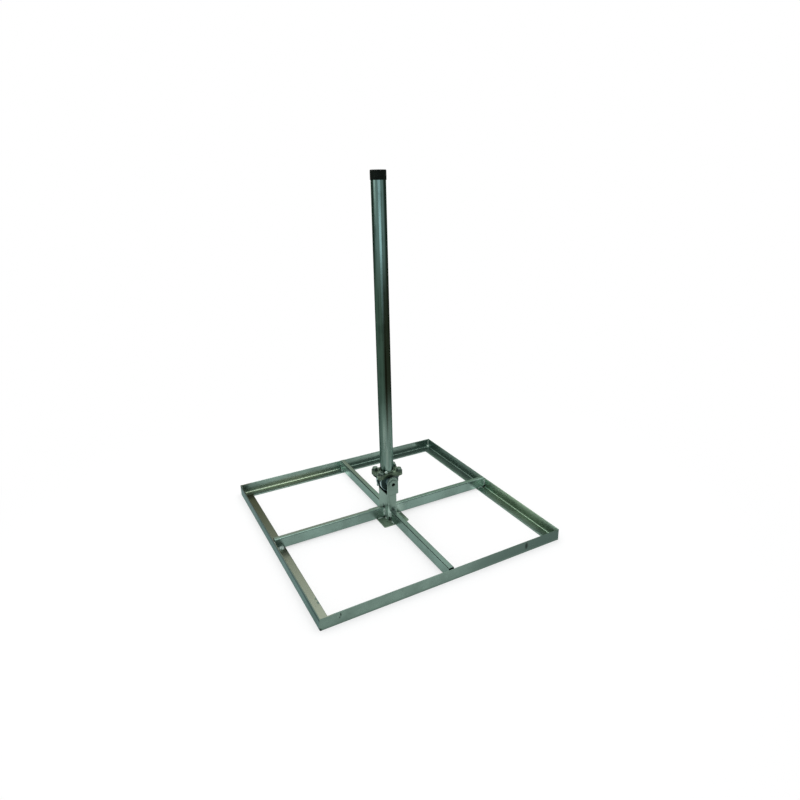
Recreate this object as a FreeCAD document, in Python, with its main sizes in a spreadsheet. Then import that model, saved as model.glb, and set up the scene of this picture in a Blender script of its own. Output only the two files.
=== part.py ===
import FreeCAD, Part
import math
import os
import Sketcher

# Ballast stand for a flat roof: a square frame of angle steel that holds four paving slabs,
# a cross of rectangular tube, an upright post and a mast that tilts in the post's ears.
# Millimetres, +Z up, origin on the ground under the middle of the frame.
# X runs along the front rail, and the mast tilts about the Y axis.

DRIVING_SIZES = {
    "frame_side": (880.0, "outer side of the square frame"),
    "angle_leg": (40.0, "leg of the equal angle"),
    "angle_thickness": (4.0, "thickness of the angle and of the base plate"),
    "angle_root_radius": (5.0, "inner root fillet of the angle"),
    "angle_toe_radius": (2.0, "rounding of the angle's toes"),
    "frame_corner_radius": (3.0, "rounding of the frame's upright corners"),
    "arm_height": (40.0, "height of the arm tube"),
    "arm_width": (20.0, "width of the arm tube"),
    "arm_wall": (2.0, "wall of the arm tube"),
    "arm_corner_radius": (3.5, "outer corner radius of the arm tube"),
    "arm_inner_radius": (1.5, "inner corner radius of the arm tube"),
    "arm_rail_gap": (2.0, "room between an arm's end and the rail's upright leg"),
    "arm_post_gap": (2.5, "room between an arm's end and the post, closed by the weld"),
    "arm_vent_radius": (6.0, "vent notch in the lower corner of an arm's end"),
    "plate_width": (100.0, "base plate along X"),
    "plate_depth": (142.0, "base plate along Y"),
    "plate_corner_radius": (4.0, "rounding of the base plate's corners"),
    "post_width": (35.0, "post tube along X"),
    "post_depth": (80.0, "post tube along Y"),
    "post_wall": (3.0, "wall of the post tube"),
    "post_corner_radius": (4.5, "outer corner radius of the post tube"),
    "post_inner_radius": (1.5, "inner corner radius of the post tube"),
    "post_drain_radius": (6.5, "drain notch in the post's lower corners"),
    "post_drain_height": (14.0, "height of the drain notch"),
    "pivot_height": (152.0, "tilt axis above the ground"),
    "swing_room": (10.0, "room under the cheeks down to the notch in the post"),
    "post_top_drop": (24.0, "post's tongues end this far under the tilt axis"),
    "ear_width": (42.0, "width of an ear plate"),
    "ear_thickness": (6.0, "thickness of an ear plate"),
    "ear_rise": (26.0, "ear's top above the tilt axis"),
    "ear_drop": (41.5, "ear's foot below the tilt axis"),
    "sleeve_radius": (10.0, "outer radius of the hollow pivot"),
    "sleeve_bore_radius": (6.5, "bore of the hollow pivot"),
    "collar_radius": (17.0, "collar on the pivot's ends"),
    "collar_thickness": (3.5, "thickness of the collar"),
    "collar_chamfer": (1.0, "chamfered rim of the collar"),
    "spacer_radius": (16.0, "outer radius of the spacer tubes"),
    "cheek_radius": (36.0, "rounded foot of a cheek about the tilt axis"),
    "cheek_thickness": (6.0, "thickness of a cheek plate"),
    "cheek_spread": (28.0, "distance between the cheeks' inner faces"),
    "cheek_shoulder": (12.0, "height of the cheek's slanted shoulder"),
    "cheek_lip": (3.0, "upright edge above the shoulder"),
    "cheek_inset": (1.0, "cheek's top stands back from the flange's end"),
    "head_rise": (23.0, "underside of the head plate above the tilt axis"),
    "flange_thickness": (8.0, "thickness of the head plate and of the mast flange"),
    "flange_ear_room": (3.5, "room between a flange and the ears"),
    "lobe_radius": (13.0, "rounding of a flange's lobes round the bolts"),
    "waist_room_x": (6.0, "depth of the hollow in a flange's ends"),
    "waist_room_y": (5.5, "depth of the hollow in a flange's long sides"),
    "flange_vent_radius": (12.0, "vent hole in the flanges under the mast"),
    "bolt_radius": (6.0, "shank of the flange bolts"),
    "bolt_across_flats": (18.0, "hexagon of the flange bolts"),
    "bolt_head_height": (7.5, "height of a bolt's head"),
    "bolt_room": (2.2, "room between a washer and the mast's weld"),
    "washer_radius": (12.0, "outer radius of a washer"),
    "washer_thickness": (2.5, "thickness of a washer"),
    "mast_radius": (24.0, "outer radius of the mast tube"),
    "mast_wall": (2.0, "wall of the mast tube"),
    "mast_length": (1016.0, "length of the mast tube"),
    "weld_leg": (5.0, "leg of the fillet weld round the mast's foot"),
    "cap_wall": (1.5, "skirt of the push-over cap"),
    "cap_top": (4.0, "top of the cap"),
    "cap_skirt": (25.5, "length of the cap's skirt over the tube"),
    "cap_chamfer": (2.0, "chamfered upper rim of the cap"),
    "running_clearance": (0.05, "radial clearance on the pivot"),
    "side_clearance": (0.3, "side clearance between the cheeks and the spacers"),
    "thread_clearance": (0.03, "radial clearance of the bolts in the tapped head plate"),
    "bolt_hole_clearance": (0.5, "radial clearance of the bolts in the mast flange"),
    "slip_clearance": (0.05, "radial clearance of the cap and of the weld on the mast"),
}

CHAMFER_SHARE = 0.475
CHAMFER_SLOPE = math.sqrt(3.0)
FACE_TOLERANCE = 1e-6
SHEET_NAME = "Sizes"


class Size:
    """A length that carries its number and the sheet expression that it is bound to."""

    def __init__(self, value, text):
        self.value = value
        self.text = text

    def __add__(self, other):
        other = size_of(other)
        return Size(self.value + other.value, "(%s + %s)" % (self.text, other.text))

    def __sub__(self, other):
        other = size_of(other)
        return Size(self.value - other.value, "(%s - %s)" % (self.text, other.text))

    def __mul__(self, other):
        other = size_of(other)
        return Size(self.value * other.value, "(%s * %s)" % (self.text, other.text))

    def __truediv__(self, other):
        other = size_of(other)
        return Size(self.value / other.value, "(%s / %s)" % (self.text, other.text))

    def __neg__(self):
        return Size(-self.value, "(-1 * %s)" % self.text)

    def root(self):
        return Size(math.sqrt(self.value), "sqrt(%s)" % self.text)


def size_of(item):
    if isinstance(item, Size):
        return item
    return Size(float(item), repr(float(item)))


ZERO = size_of(0.0)
doc = FreeCAD.newDocument("roof_ballast_stand")
sheet = doc.addObject("Spreadsheet::Sheet", SHEET_NAME)
driving = {}
for row, (alias, (number, note)) in enumerate(DRIVING_SIZES.items(), start=1):
    sheet.set("A%d" % row, note)
    sheet.set("B%d" % row, str(number))
    sheet.setAlias("B%d" % row, alias)
    driving[alias] = Size(number, "%s.%s" % (SHEET_NAME, alias))
doc.recompute()

# Levels and half widths that several pieces share
half_frame = driving["frame_side"] / 2
seat_level = driving["angle_thickness"]
pivot_level = driving["pivot_height"]
head_level = pivot_level + driving["head_rise"]
flange_level = head_level + driving["flange_thickness"]
mast_foot_level = flange_level + driving["flange_thickness"]
mast_top_level = mast_foot_level + driving["mast_length"]
ear_inner_face = driving["post_depth"] / 2
ear_outer_face = ear_inner_face + driving["ear_thickness"]
collar_outer_face = ear_outer_face + driving["collar_thickness"]
cheek_inner_face = driving["cheek_spread"] / 2
cheek_outer_face = cheek_inner_face + driving["cheek_thickness"]
pivot_hole_radius = driving["sleeve_radius"] + driving["running_clearance"]
weld_outer_radius = driving["mast_radius"] + driving["slip_clearance"] + driving["weld_leg"]

# The bolts stand clear of the mast's weld, and the flanges pass between the ears
bolt_circle = weld_outer_radius + driving["bolt_room"] + driving["washer_radius"]
bolt_y = ear_inner_face - driving["flange_ear_room"] - driving["lobe_radius"]
bolt_x = (bolt_circle * bolt_circle - bolt_y * bolt_y).root()
CORNER_SIGNS = ((1, 1), (-1, 1), (-1, -1), (1, -1))


def new_body(label):
    body = doc.addObject("PartDesign::Body", label)
    body.Label = label
    return body


def origin_plane(body, role):
    for feature in body.Origin.OriginFeatures:
        if feature.Role == role:
            return feature
    raise ValueError("no plane " + role)


def new_sketch(body, role, offset=ZERO):
    """Put a sketch on one of the body's own planes, moved along the plane's normal."""
    sketch = body.newObject("Sketcher::SketchObject", body.Label + "_sketch")
    sketch.AttachmentSupport = [(origin_plane(body, role), "")]
    sketch.MapMode = "FlatFace"
    sketch.setExpression("AttachmentOffset.Base.z", offset.text)
    return sketch


def bind_point(sketch, geometry, position, x, y):
    for kind, size in (("DistanceX", x), ("DistanceY", y)):
        bind_datum(sketch, size, Sketcher.Constraint(kind, -1, 1, geometry, position, size.value))


def bind_datum(sketch, size, constraint):
    index = sketch.addConstraint(constraint)
    name = "size_%d" % index
    sketch.renameConstraint(index, name)
    sketch.setExpression("Constraints." + name, size.text)


def draw_circle(sketch, x, y, radius):
    x = size_of(x)
    y = size_of(y)
    centre = FreeCAD.Vector(x.value, y.value, 0)
    circle = sketch.addGeometry(Part.Circle(centre, FreeCAD.Vector(0, 0, 1), radius.value), False)
    bind_point(sketch, circle, 3, x, y)
    bind_datum(sketch, radius, Sketcher.Constraint("Radius", circle, radius.value))


def arc_between(start, end, centre, turn):
    """Arc geometry that runs anticlockwise, from end to start where the path turns clockwise."""
    first = start if turn > 0 else end
    last = end if turn > 0 else start
    cx = centre[0].value
    cy = centre[1].value
    begin = math.atan2(first[1].value - cy, first[0].value - cx)
    finish = math.atan2(last[1].value - cy, last[0].value - cx)
    if finish <= begin:
        finish += 2 * math.pi
    radius = math.hypot(first[0].value - cx, first[1].value - cy)
    circle = Part.Circle(FreeCAD.Vector(cx, cy, 0), FreeCAD.Vector(0, 0, 1), radius)
    return Part.ArcOfCircle(circle, begin, finish)


def draw_outline(sketch, path):
    """Draw a closed outline. A path item is (x, y), or (x, y, centre, turn) where an arc follows."""
    points = [(size_of(item[0]), size_of(item[1])) for item in path]
    edges = []
    for index, item in enumerate(path):
        start = points[index]
        end = points[(index + 1) % len(points)]
        if len(item) == 2:
            line = Part.LineSegment(
                FreeCAD.Vector(start[0].value, start[1].value, 0),
                FreeCAD.Vector(end[0].value, end[1].value, 0),
            )
            edges.append((sketch.addGeometry(line, False), 1, 2))
            continue
        centre = (size_of(item[2][0]), size_of(item[2][1]))
        turn = item[3]
        arc = sketch.addGeometry(arc_between(start, end, centre, turn), False)
        edges.append((arc, 1, 2) if turn > 0 else (arc, 2, 1))
        wide = abs(end[0].value - start[0].value) >= abs(end[1].value - start[1].value)
        axis = 1 if wide else 0
        kind = ("DistanceX", "DistanceY")[axis]
        datum = Sketcher.Constraint(kind, -1, 1, arc, 3, centre[axis].value)
        bind_datum(sketch, centre[axis], datum)
    for index, (edge, first, last) in enumerate(edges):
        following, next_first, next_last = edges[(index + 1) % len(edges)]
        sketch.addConstraint(Sketcher.Constraint("Coincident", edge, last, following, next_first))
        bind_point(sketch, edge, first, points[index][0], points[index][1])


def draw_rounded_rectangle(sketch, left, bottom, right, top, radius):
    draw_outline(sketch, [
        (left + radius, bottom),
        (right - radius, bottom, (right - radius, bottom + radius), 1),
        (right, bottom + radius),
        (right, top - radius, (right - radius, top - radius), 1),
        (right - radius, top),
        (left + radius, top, (left + radius, top - radius), 1),
        (left, top - radius),
        (left, bottom + radius, (left + radius, bottom + radius), 1),
    ])


def pad(body, sketch, length, symmetric=False):
    feature = body.newObject("PartDesign::Pad", body.Label + "_pad")
    feature.Profile = sketch
    if symmetric:
        feature.SideType = "Symmetric"
    feature.setExpression("Length", length.text)
    doc.recompute()
    return feature


def cut_through(body, sketch):
    """Cut the sketch through the whole body, to both sides of its plane."""
    volume = body.Shape.Volume
    feature = body.newObject("PartDesign::Pocket", body.Label + "_pocket")
    feature.Profile = sketch
    feature.Type = "ThroughAll"
    feature.SideType = "Symmetric"
    doc.recompute()
    if body.Shape.Volume >= volume:
        raise ValueError("a cut in %s removed nothing" % body.Label)
    return feature


def cut_upwards(body, sketch, depth):
    volume = body.Shape.Volume
    feature = body.newObject("PartDesign::Pocket", body.Label + "_pocket")
    feature.Profile = sketch
    feature.Reversed = True
    feature.setExpression("Length", depth.text)
    doc.recompute()
    if body.Shape.Volume >= volume:
        raise ValueError("a cut in %s removed nothing" % body.Label)
    return feature


def mirror(body, feature, role):
    mirrored = body.newObject("PartDesign::Mirrored", body.Label + "_mirrored")
    mirrored.Originals = [feature]
    mirrored.MirrorPlane = (origin_plane(body, role), [""])
    body.Tip = mirrored
    doc.recompute()


def revolve(body, sketch):
    feature = body.newObject("PartDesign::Revolution", body.Label + "_revolution")
    feature.Profile = sketch
    feature.ReferenceAxis = (sketch, ["V_Axis"])
    feature.Angle = 360.0
    doc.recompute()


def turn_about_z(part, degrees):
    part.Placement = FreeCAD.Placement(
        FreeCAD.Vector(0, 0, 0), FreeCAD.Rotation(FreeCAD.Vector(0, 0, 1), degrees)
    )


def make_ring(label, near_face, far_face, outer_radius, inner_radius):
    """A ring on the tilt axis between two planes across Y."""
    body = new_body(label)
    sketch = new_sketch(body, "XZ_Plane", -far_face)
    draw_circle(sketch, 0, pivot_level, outer_radius)
    draw_circle(sketch, 0, pivot_level, inner_radius)
    pad(body, sketch, far_face - near_face)
    return body


def make_rail(label, degrees):
    """Equal angle with its upright leg outside, mitred at both ends."""
    leg = driving["angle_leg"]
    thick = driving["angle_thickness"]
    root = driving["angle_root_radius"]
    toe = driving["angle_toe_radius"]
    outer = -half_frame
    toe_y = outer + leg
    leg_y = outer + thick
    body = new_body(label)
    section = new_sketch(body, "YZ_Plane")
    draw_outline(section, [
        (outer, ZERO),
        (toe_y, ZERO),
        (toe_y, thick - toe, (toe_y - toe, thick - toe), 1),
        (toe_y - toe, thick),
        (leg_y + root, thick, (leg_y + root, thick + root), -1),
        (leg_y, thick + root),
        (leg_y, leg - toe, (leg_y - toe, leg - toe), 1),
        (leg_y - toe, leg),
        (outer, leg),
    ])
    pad(body, section, driving["frame_side"], symmetric=True)

    corner = driving["frame_corner_radius"]
    slant = corner * (1 - math.sqrt(0.5))
    reach = leg + thick
    mitre = new_sketch(body, "XY_Plane")
    draw_outline(mitre, [
        (half_frame - corner, -half_frame, (half_frame - corner, corner - half_frame), 1),
        (half_frame - slant, slant - half_frame),
        (half_frame - reach, reach - half_frame),
        (half_frame + thick, reach - half_frame),
        (half_frame + thick, -half_frame - thick),
        (half_frame - corner, -half_frame - thick),
    ])
    mirror(body, cut_through(body, mitre), "YZ_Plane")
    turn_about_z(body, degrees)
    return body


def make_arm(label, post_half, degrees):
    """Rectangular tube on edge from the post to a rail, seated on the rail's flange."""
    start = post_half + driving["arm_post_gap"]
    end = half_frame - driving["angle_thickness"] - driving["arm_rail_gap"]
    half_width = driving["arm_width"] / 2
    wall = driving["arm_wall"]
    top = seat_level + driving["arm_height"]
    body = new_body(label)
    section = new_sketch(body, "YZ_Plane", start)
    draw_rounded_rectangle(
        section, -half_width, seat_level, half_width, top, driving["arm_corner_radius"]
    )
    draw_rounded_rectangle(
        section, wall - half_width, seat_level + wall, half_width - wall, top - wall,
        driving["arm_inner_radius"],
    )
    pad(body, section, end - start)
    vents = new_sketch(body, "XZ_Plane")
    draw_circle(vents, start, seat_level, driving["arm_vent_radius"])
    draw_circle(vents, end, seat_level, driving["arm_vent_radius"])
    cut_through(body, vents)
    turn_about_z(body, degrees)
    return body


def make_base_plate():
    half_width = driving["plate_width"] / 2
    half_depth = driving["plate_depth"] / 2
    body = new_body("base_plate")
    outline = new_sketch(body, "XY_Plane")
    draw_rounded_rectangle(
        outline, -half_width, -half_depth, half_width, half_depth, driving["plate_corner_radius"]
    )
    pad(body, outline, driving["angle_thickness"])
    return body


def make_post():
    """Rectangular tube whose long walls end in two tongues behind the ears."""
    half_width = driving["post_width"] / 2
    half_depth = driving["post_depth"] / 2
    wall = driving["post_wall"]
    top = pivot_level - driving["post_top_drop"]
    notch_level = pivot_level - driving["cheek_radius"] - driving["swing_room"]
    body = new_body("post")
    section = new_sketch(body, "XY_Plane", seat_level)
    draw_rounded_rectangle(
        section, -half_width, -half_depth, half_width, half_depth, driving["post_corner_radius"]
    )
    draw_rounded_rectangle(
        section, wall - half_width, wall - half_depth, half_width - wall, half_depth - wall,
        driving["post_inner_radius"],
    )
    pad(body, section, top - seat_level)

    notch = new_sketch(body, "YZ_Plane")
    draw_outline(notch, [
        (wall - half_depth, notch_level),
        (half_depth - wall, notch_level),
        (half_depth - wall, top + wall),
        (wall - half_depth, top + wall),
    ])
    cut_through(body, notch)

    drains = new_sketch(body, "XY_Plane", seat_level)
    for sign_x, sign_y in CORNER_SIGNS:
        draw_circle(drains, half_width * sign_x, half_depth * sign_y, driving["post_drain_radius"])
    cut_upwards(body, drains, driving["post_drain_height"])
    return body


def make_ear(label, far_face):
    """Ear plate with a round head, lapped on the post's long wall."""
    half_width = driving["ear_width"] / 2
    shoulder = pivot_level + driving["ear_rise"] - half_width
    foot = pivot_level - driving["ear_drop"]
    body = new_body(label)
    outline = new_sketch(body, "XZ_Plane", -far_face)
    draw_outline(outline, [
        (-half_width, foot),
        (half_width, foot),
        (half_width, shoulder, (ZERO, shoulder), 1),
        (-half_width, shoulder),
    ])
    draw_circle(outline, 0, pivot_level, pivot_hole_radius)
    pad(body, outline, driving["ear_thickness"])
    return body


def make_collar(label, near_face, far_face, outer_face):
    """Collar on the pivot's end, with its outer rim chamfered."""
    body = make_ring(label, near_face, far_face, driving["collar_radius"], pivot_hole_radius)
    rim = driving["collar_radius"].value
    ring = body.Tip
    names = []
    for index, edge in enumerate(ring.Shape.Edges, start=1):
        on_face = abs(edge.CenterOfMass.y - outer_face.value) < FACE_TOLERANCE
        if on_face and abs(edge.Curve.Radius - rim) < FACE_TOLERANCE:
            names.append("Edge%d" % index)
    chamfer = body.newObject("PartDesign::Chamfer", label + "_chamfer")
    chamfer.Base = (ring, names)
    chamfer.setExpression("Size", driving["collar_chamfer"].text)
    doc.recompute()
    return body


def make_cheek(label, far_face):
    """Cheek plate: round foot about the tilt axis, shoulders that flare to the head plate."""
    radius = driving["cheek_radius"]
    flare = bolt_x + driving["lobe_radius"] - driving["cheek_inset"]
    lip_level = head_level - driving["cheek_lip"]
    shoulder_level = lip_level - driving["cheek_shoulder"]
    body = new_body(label)
    outline = new_sketch(body, "XZ_Plane", -far_face)
    draw_outline(outline, [
        (-flare, head_level),
        (-flare, lip_level),
        (-radius, shoulder_level),
        (-radius, pivot_level, (ZERO, pivot_level), 1),
        (radius, pivot_level),
        (radius, shoulder_level),
        (flare, lip_level),
        (flare, head_level),
    ])
    draw_circle(outline, 0, pivot_level, pivot_hole_radius)
    pad(body, outline, driving["cheek_thickness"])
    return body


def waist_arc(along, across, depth):
    """Hollow between two lobes: its centre's distance and where it leaves a lobe, by tangency."""
    lobe = driving["lobe_radius"]
    rise = lobe - depth
    hollow = (rise * rise + across * across - lobe * lobe) / (depth * 2)
    centre = along + rise + hollow
    share = lobe / (lobe + hollow)
    return centre, along + (centre - along) * share, across - across * share


def make_flange(label, level, bolt_hole_radius):
    """Four-lobed flange: a lobe round each bolt, with hollows between the lobes."""
    end_centre, end_x, end_y = waist_arc(bolt_x, bolt_y, driving["waist_room_x"])
    side_centre, side_y, side_x = waist_arc(bolt_y, bolt_x, driving["waist_room_y"])
    body = new_body(label)
    outline = new_sketch(body, "XY_Plane", level)
    draw_outline(outline, [
        (end_x, end_y, (bolt_x, bolt_y), 1),
        (side_x, side_y, (ZERO, side_centre), -1),
        (-side_x, side_y, (-bolt_x, bolt_y), 1),
        (-end_x, end_y, (-end_centre, ZERO), -1),
        (-end_x, -end_y, (-bolt_x, -bolt_y), 1),
        (-side_x, -side_y, (ZERO, -side_centre), -1),
        (side_x, -side_y, (bolt_x, -bolt_y), 1),
        (end_x, -end_y, (end_centre, ZERO), -1),
    ])
    for sign_x, sign_y in CORNER_SIGNS:
        draw_circle(outline, bolt_x * sign_x, bolt_y * sign_y, bolt_hole_radius)
    draw_circle(outline, 0, 0, driving["flange_vent_radius"])
    pad(body, outline, driving["flange_thickness"])
    return body


def make_washers():
    body = new_body("flange_washers")
    body.AllowCompound = True
    rings = new_sketch(body, "XY_Plane", mast_foot_level)
    hole = driving["bolt_radius"] + driving["bolt_hole_clearance"]
    for sign_x, sign_y in CORNER_SIGNS:
        draw_circle(rings, bolt_x * sign_x, bolt_y * sign_y, driving["washer_radius"])
        draw_circle(rings, bolt_x * sign_x, bolt_y * sign_y, hole)
    pad(body, rings, driving["washer_thickness"])
    return body


def new_primitive(kind, label, x, y, level, **sizes):
    part = doc.addObject("Part::" + kind, label)
    for name, size in sizes.items():
        part.setExpression(name, size.text)
    for axis, size in (("x", x), ("y", y), ("z", level)):
        part.setExpression("Placement.Base." + axis, size.text)
    return part


def make_bolt(name, x, y):
    """Hexagon bolt from above, its head chamfered and its shank down through the head plate."""
    flats = driving["bolt_across_flats"]
    height = driving["bolt_head_height"]
    seat = mast_foot_level + driving["washer_thickness"]
    crown = flats * CHAMFER_SHARE
    hexagon = new_primitive(
        "Prism", name + "_hexagon", x, y, seat, Circumradius=flats / CHAMFER_SLOPE, Height=height
    )
    cone = new_primitive(
        "Cone", name + "_cone", x, y, seat,
        Radius1=crown + height * CHAMFER_SLOPE, Radius2=crown, Height=height,
    )
    head = doc.addObject("Part::Common", name + "_head")
    head.Base = hexagon
    head.Tool = cone
    shank = new_primitive(
        "Cylinder", name + "_shank", x, y, head_level,
        Radius=driving["bolt_radius"], Height=seat - head_level,
    )
    bolt = doc.addObject("Part::Fuse", name)
    bolt.Base = head
    bolt.Tool = shank
    return bolt


def make_bolts():
    bolts = [
        make_bolt("flange_bolt_%d" % number, bolt_x * sign_x, bolt_y * sign_y)
        for number, (sign_x, sign_y) in enumerate(CORNER_SIGNS, start=1)
    ]
    group = doc.addObject("Part::Compound", "flange_bolts")
    group.Label = "flange_bolts"
    group.Links = bolts
    doc.recompute()
    return group


def make_mast_tube():
    body = new_body("mast_tube")
    section = new_sketch(body, "XY_Plane", mast_foot_level)
    draw_circle(section, 0, 0, driving["mast_radius"])
    draw_circle(section, 0, 0, driving["mast_radius"] - driving["mast_wall"])
    pad(body, section, driving["mast_length"])
    return body


def make_mast_weld():
    """Fillet weld round the mast's foot."""
    inner = driving["mast_radius"] + driving["slip_clearance"]
    crest = mast_foot_level + driving["weld_leg"]
    body = new_body("mast_weld")
    section = new_sketch(body, "XZ_Plane")
    draw_outline(section, [
        (inner, mast_foot_level),
        (weld_outer_radius, mast_foot_level),
        (inner, crest),
    ])
    revolve(body, section)
    return body


def make_mast_cap():
    """Push-over cap: a skirt round the tube's end and a flat top with a chamfered rim."""
    inner = driving["mast_radius"] + driving["slip_clearance"]
    outer = inner + driving["cap_wall"]
    top = mast_top_level + driving["cap_top"]
    rim = driving["cap_chamfer"]
    skirt_foot = mast_top_level - driving["cap_skirt"]
    body = new_body("mast_cap")
    section = new_sketch(body, "XZ_Plane")
    draw_outline(section, [
        (inner, skirt_foot),
        (outer, skirt_foot),
        (outer, top - rim),
        (outer - rim, top),
        (ZERO, top),
        (ZERO, mast_top_level),
        (inner, mast_top_level),
    ])
    revolve(body, section)
    return body


def build_parts():
    half_width = driving["post_width"] / 2
    half_depth = driving["post_depth"] / 2
    spacer = driving["spacer_radius"]
    room = driving["side_clearance"]
    tapped_radius = driving["bolt_radius"] + driving["thread_clearance"]
    clear_radius = driving["bolt_radius"] + driving["bolt_hole_clearance"]
    sides = ("front", "right", "back", "left")
    parts = [make_rail("rail_" + side, 90 * turn) for turn, side in enumerate(sides)]
    parts += [
        make_arm("arm_right", half_width, 0),
        make_arm("arm_back", half_depth, 90),
        make_arm("arm_left", half_width, 180),
        make_arm("arm_front", half_depth, 270),
        make_base_plate(),
        make_post(),
        make_ear("ear_front", -ear_inner_face),
        make_ear("ear_back", ear_outer_face),
        make_ring(
            "pivot_sleeve", -collar_outer_face, collar_outer_face,
            driving["sleeve_radius"], driving["sleeve_bore_radius"],
        ),
        make_collar("pivot_collar_front", -collar_outer_face, -ear_outer_face, -collar_outer_face),
        make_collar("pivot_collar_back", ear_outer_face, collar_outer_face, collar_outer_face),
        make_ring(
            "spacer_front", -ear_inner_face, -(cheek_outer_face + room), spacer, pivot_hole_radius
        ),
        make_ring(
            "spacer_middle", room - cheek_inner_face, cheek_inner_face - room,
            spacer, pivot_hole_radius,
        ),
        make_ring(
            "spacer_back", cheek_outer_face + room, ear_inner_face, spacer, pivot_hole_radius
        ),
        make_cheek("cheek_front", -cheek_inner_face),
        make_cheek("cheek_back", cheek_outer_face),
        make_flange("head_plate", head_level, tapped_radius),
        make_flange("mast_flange", flange_level, clear_radius),
        make_washers(),
        make_bolts(),
        make_mast_tube(),
        make_mast_weld(),
        make_mast_cap(),
    ]
    return parts


def export_parts(parts):
    doc.recompute()
    for item in doc.Objects:
        if "Invalid" in item.State or "Error" in item.State:
            raise ValueError("%s failed to build" % item.Label)
    for part in parts:
        if part.Shape.isNull() or not part.Shape.isValid():
            raise ValueError("%s has no valid shape" % part.Label)
    os.makedirs("parts", exist_ok=True)
    for part in parts:
        part.Shape.exportStep("parts/%s.step" % part.Label)


export_parts(build_parts())
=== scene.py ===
import math
import random
from collections import namedtuple

import bmesh
import bpy
from mathutils import Matrix, Vector


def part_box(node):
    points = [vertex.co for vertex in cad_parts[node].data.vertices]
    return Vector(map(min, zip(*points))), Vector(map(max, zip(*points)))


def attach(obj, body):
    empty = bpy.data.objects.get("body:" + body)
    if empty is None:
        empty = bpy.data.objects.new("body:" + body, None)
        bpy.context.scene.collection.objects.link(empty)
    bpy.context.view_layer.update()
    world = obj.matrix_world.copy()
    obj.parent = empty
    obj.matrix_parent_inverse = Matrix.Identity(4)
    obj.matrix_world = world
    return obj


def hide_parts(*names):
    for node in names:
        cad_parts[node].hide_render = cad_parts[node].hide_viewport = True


bl_info = {
    "name": "Roof ballast stand",
    "version": (1, 0, 0),
    "blender": (4, 5, 0),
    "location": "3D View > Sidebar > Ballast Stand",
    "description": "Steel finishes, weld beads and a studio for a ballast stand with a tilting mast",
    "category": "Object",
}

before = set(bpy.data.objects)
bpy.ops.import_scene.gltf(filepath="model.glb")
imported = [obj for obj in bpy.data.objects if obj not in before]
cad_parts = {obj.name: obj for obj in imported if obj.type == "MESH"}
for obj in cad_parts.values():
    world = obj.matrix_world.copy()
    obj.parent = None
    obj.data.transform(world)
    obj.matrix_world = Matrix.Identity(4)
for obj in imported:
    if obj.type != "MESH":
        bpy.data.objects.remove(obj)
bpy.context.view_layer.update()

RAILS = ("rail_front", "rail_right", "rail_back", "rail_left")
ARMS = ("arm_right", "arm_back", "arm_left", "arm_front")
POST_PIECES = (
    "post", "ear_front", "ear_back", "pivot_collar_front", "pivot_collar_back", "pivot_sleeve",
)
SPACERS = ("spacer_front", "spacer_middle", "spacer_back")
CHEEKS = ("cheek_front", "cheek_back")
FLANGES = ("head_plate", "mast_flange")
FASTENERS = ("flange_bolts", "flange_washers")

X_AXIS = Vector((1, 0, 0))
Y_AXIS = Vector((0, 1, 0))
Z_AXIS = Vector((0, 0, 1))
QUARTER_TURN = math.pi / 2
WHITE = (1.0, 1.0, 1.0)

# Scales that flatten a place to the ground and to the upright plane across the pivot
GROUND_PLANE = (1.0, 1.0, 0.0)
PIVOT_PLANE = (1.0, 0.0, 1.0)

# Mesh of the weld beads: sides of a section, stations in a ripple, fewest ripples, ripples over which
# an end tapers, size of the end itself, roundness of a blob, and distances under which points merge
BEAD_SEGMENTS = 16
RIPPLE_STEPS = 4
FEWEST_RIPPLES = 2
TAPER_RIPPLES = 1.5
END_SIZE = 0.35
BLOB_SUBDIVISIONS = 3
MERGE_DISTANCE = 1e-6
RING_MERGE_DISTANCE = 1e-5

# Seeds for the unevenness of the beads
CORNER_SEED = 3
ARM_SEED = 5
POST_SEED = 7
HEAD_SEED = 11

# Size of the seat beads against the largest, on the right, back, left and front arm
SEAT_SHARES = (0.50, 0.50, 1.00, 0.50)

# Shares of a radius by which the upright beads at the rails and at the post lie inside the arm's side
BUTT_SINK = 0.5
POST_SINK = 0.2

# Share of a cheek's width that the bead on it covers
CHEEK_SHARE = 0.8

# Weld drop at the mast's foot: heading, stretch outwards, sideways and upwards, and the share of its
# radius between the tube and its middle
DROP_SIDE = (-0.530, -0.848, 0.0)
DROP_SHAPE = (0.9, 1.15, 1.1)
DROP_REACH = 0.8

# Levels of the floor and of the drape's foot, and facets of the drape all round
FLOOR_LEVEL = -0.0002
DRAPE_LEVEL = 0.0005
DRAPE_STEPS = 64

# Headings in the studio: dull side, front, pale wall and its brightest panel
DULL_SIDE = (0.94, -0.34, 0.0)
FRONT_SIDE = (-0.485, -0.875, 0.0)
PALE_SIDE = (0.40, 0.917, 0.0)
PANEL_SIDE = (0.19, 0.98, 0.0)

# Changes on the drape. Those named for a turn are cosines of the angle to a heading. The wall starts
# at a height in metres, its middle lies between two heights, and the last two are shares of a height
DULL_TURN = (-0.5, 0.4)
NEAR_TURN = (-0.2, 0.6)
MIDDLE_TURN = (-0.2, 0.5)
PALE_TURN = (0.62, 0.85)
PANEL_TURN = (0.93, 0.99)
TOP_TURN = (0.4, 0.7)
WALL_START = (0.20, 0.75)
MIDDLE_LEVELS = (0.9, 1.7)
HIGH_START = (0.6, 1.4)
TOP_FADE = (1.0, 0.70)

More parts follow.
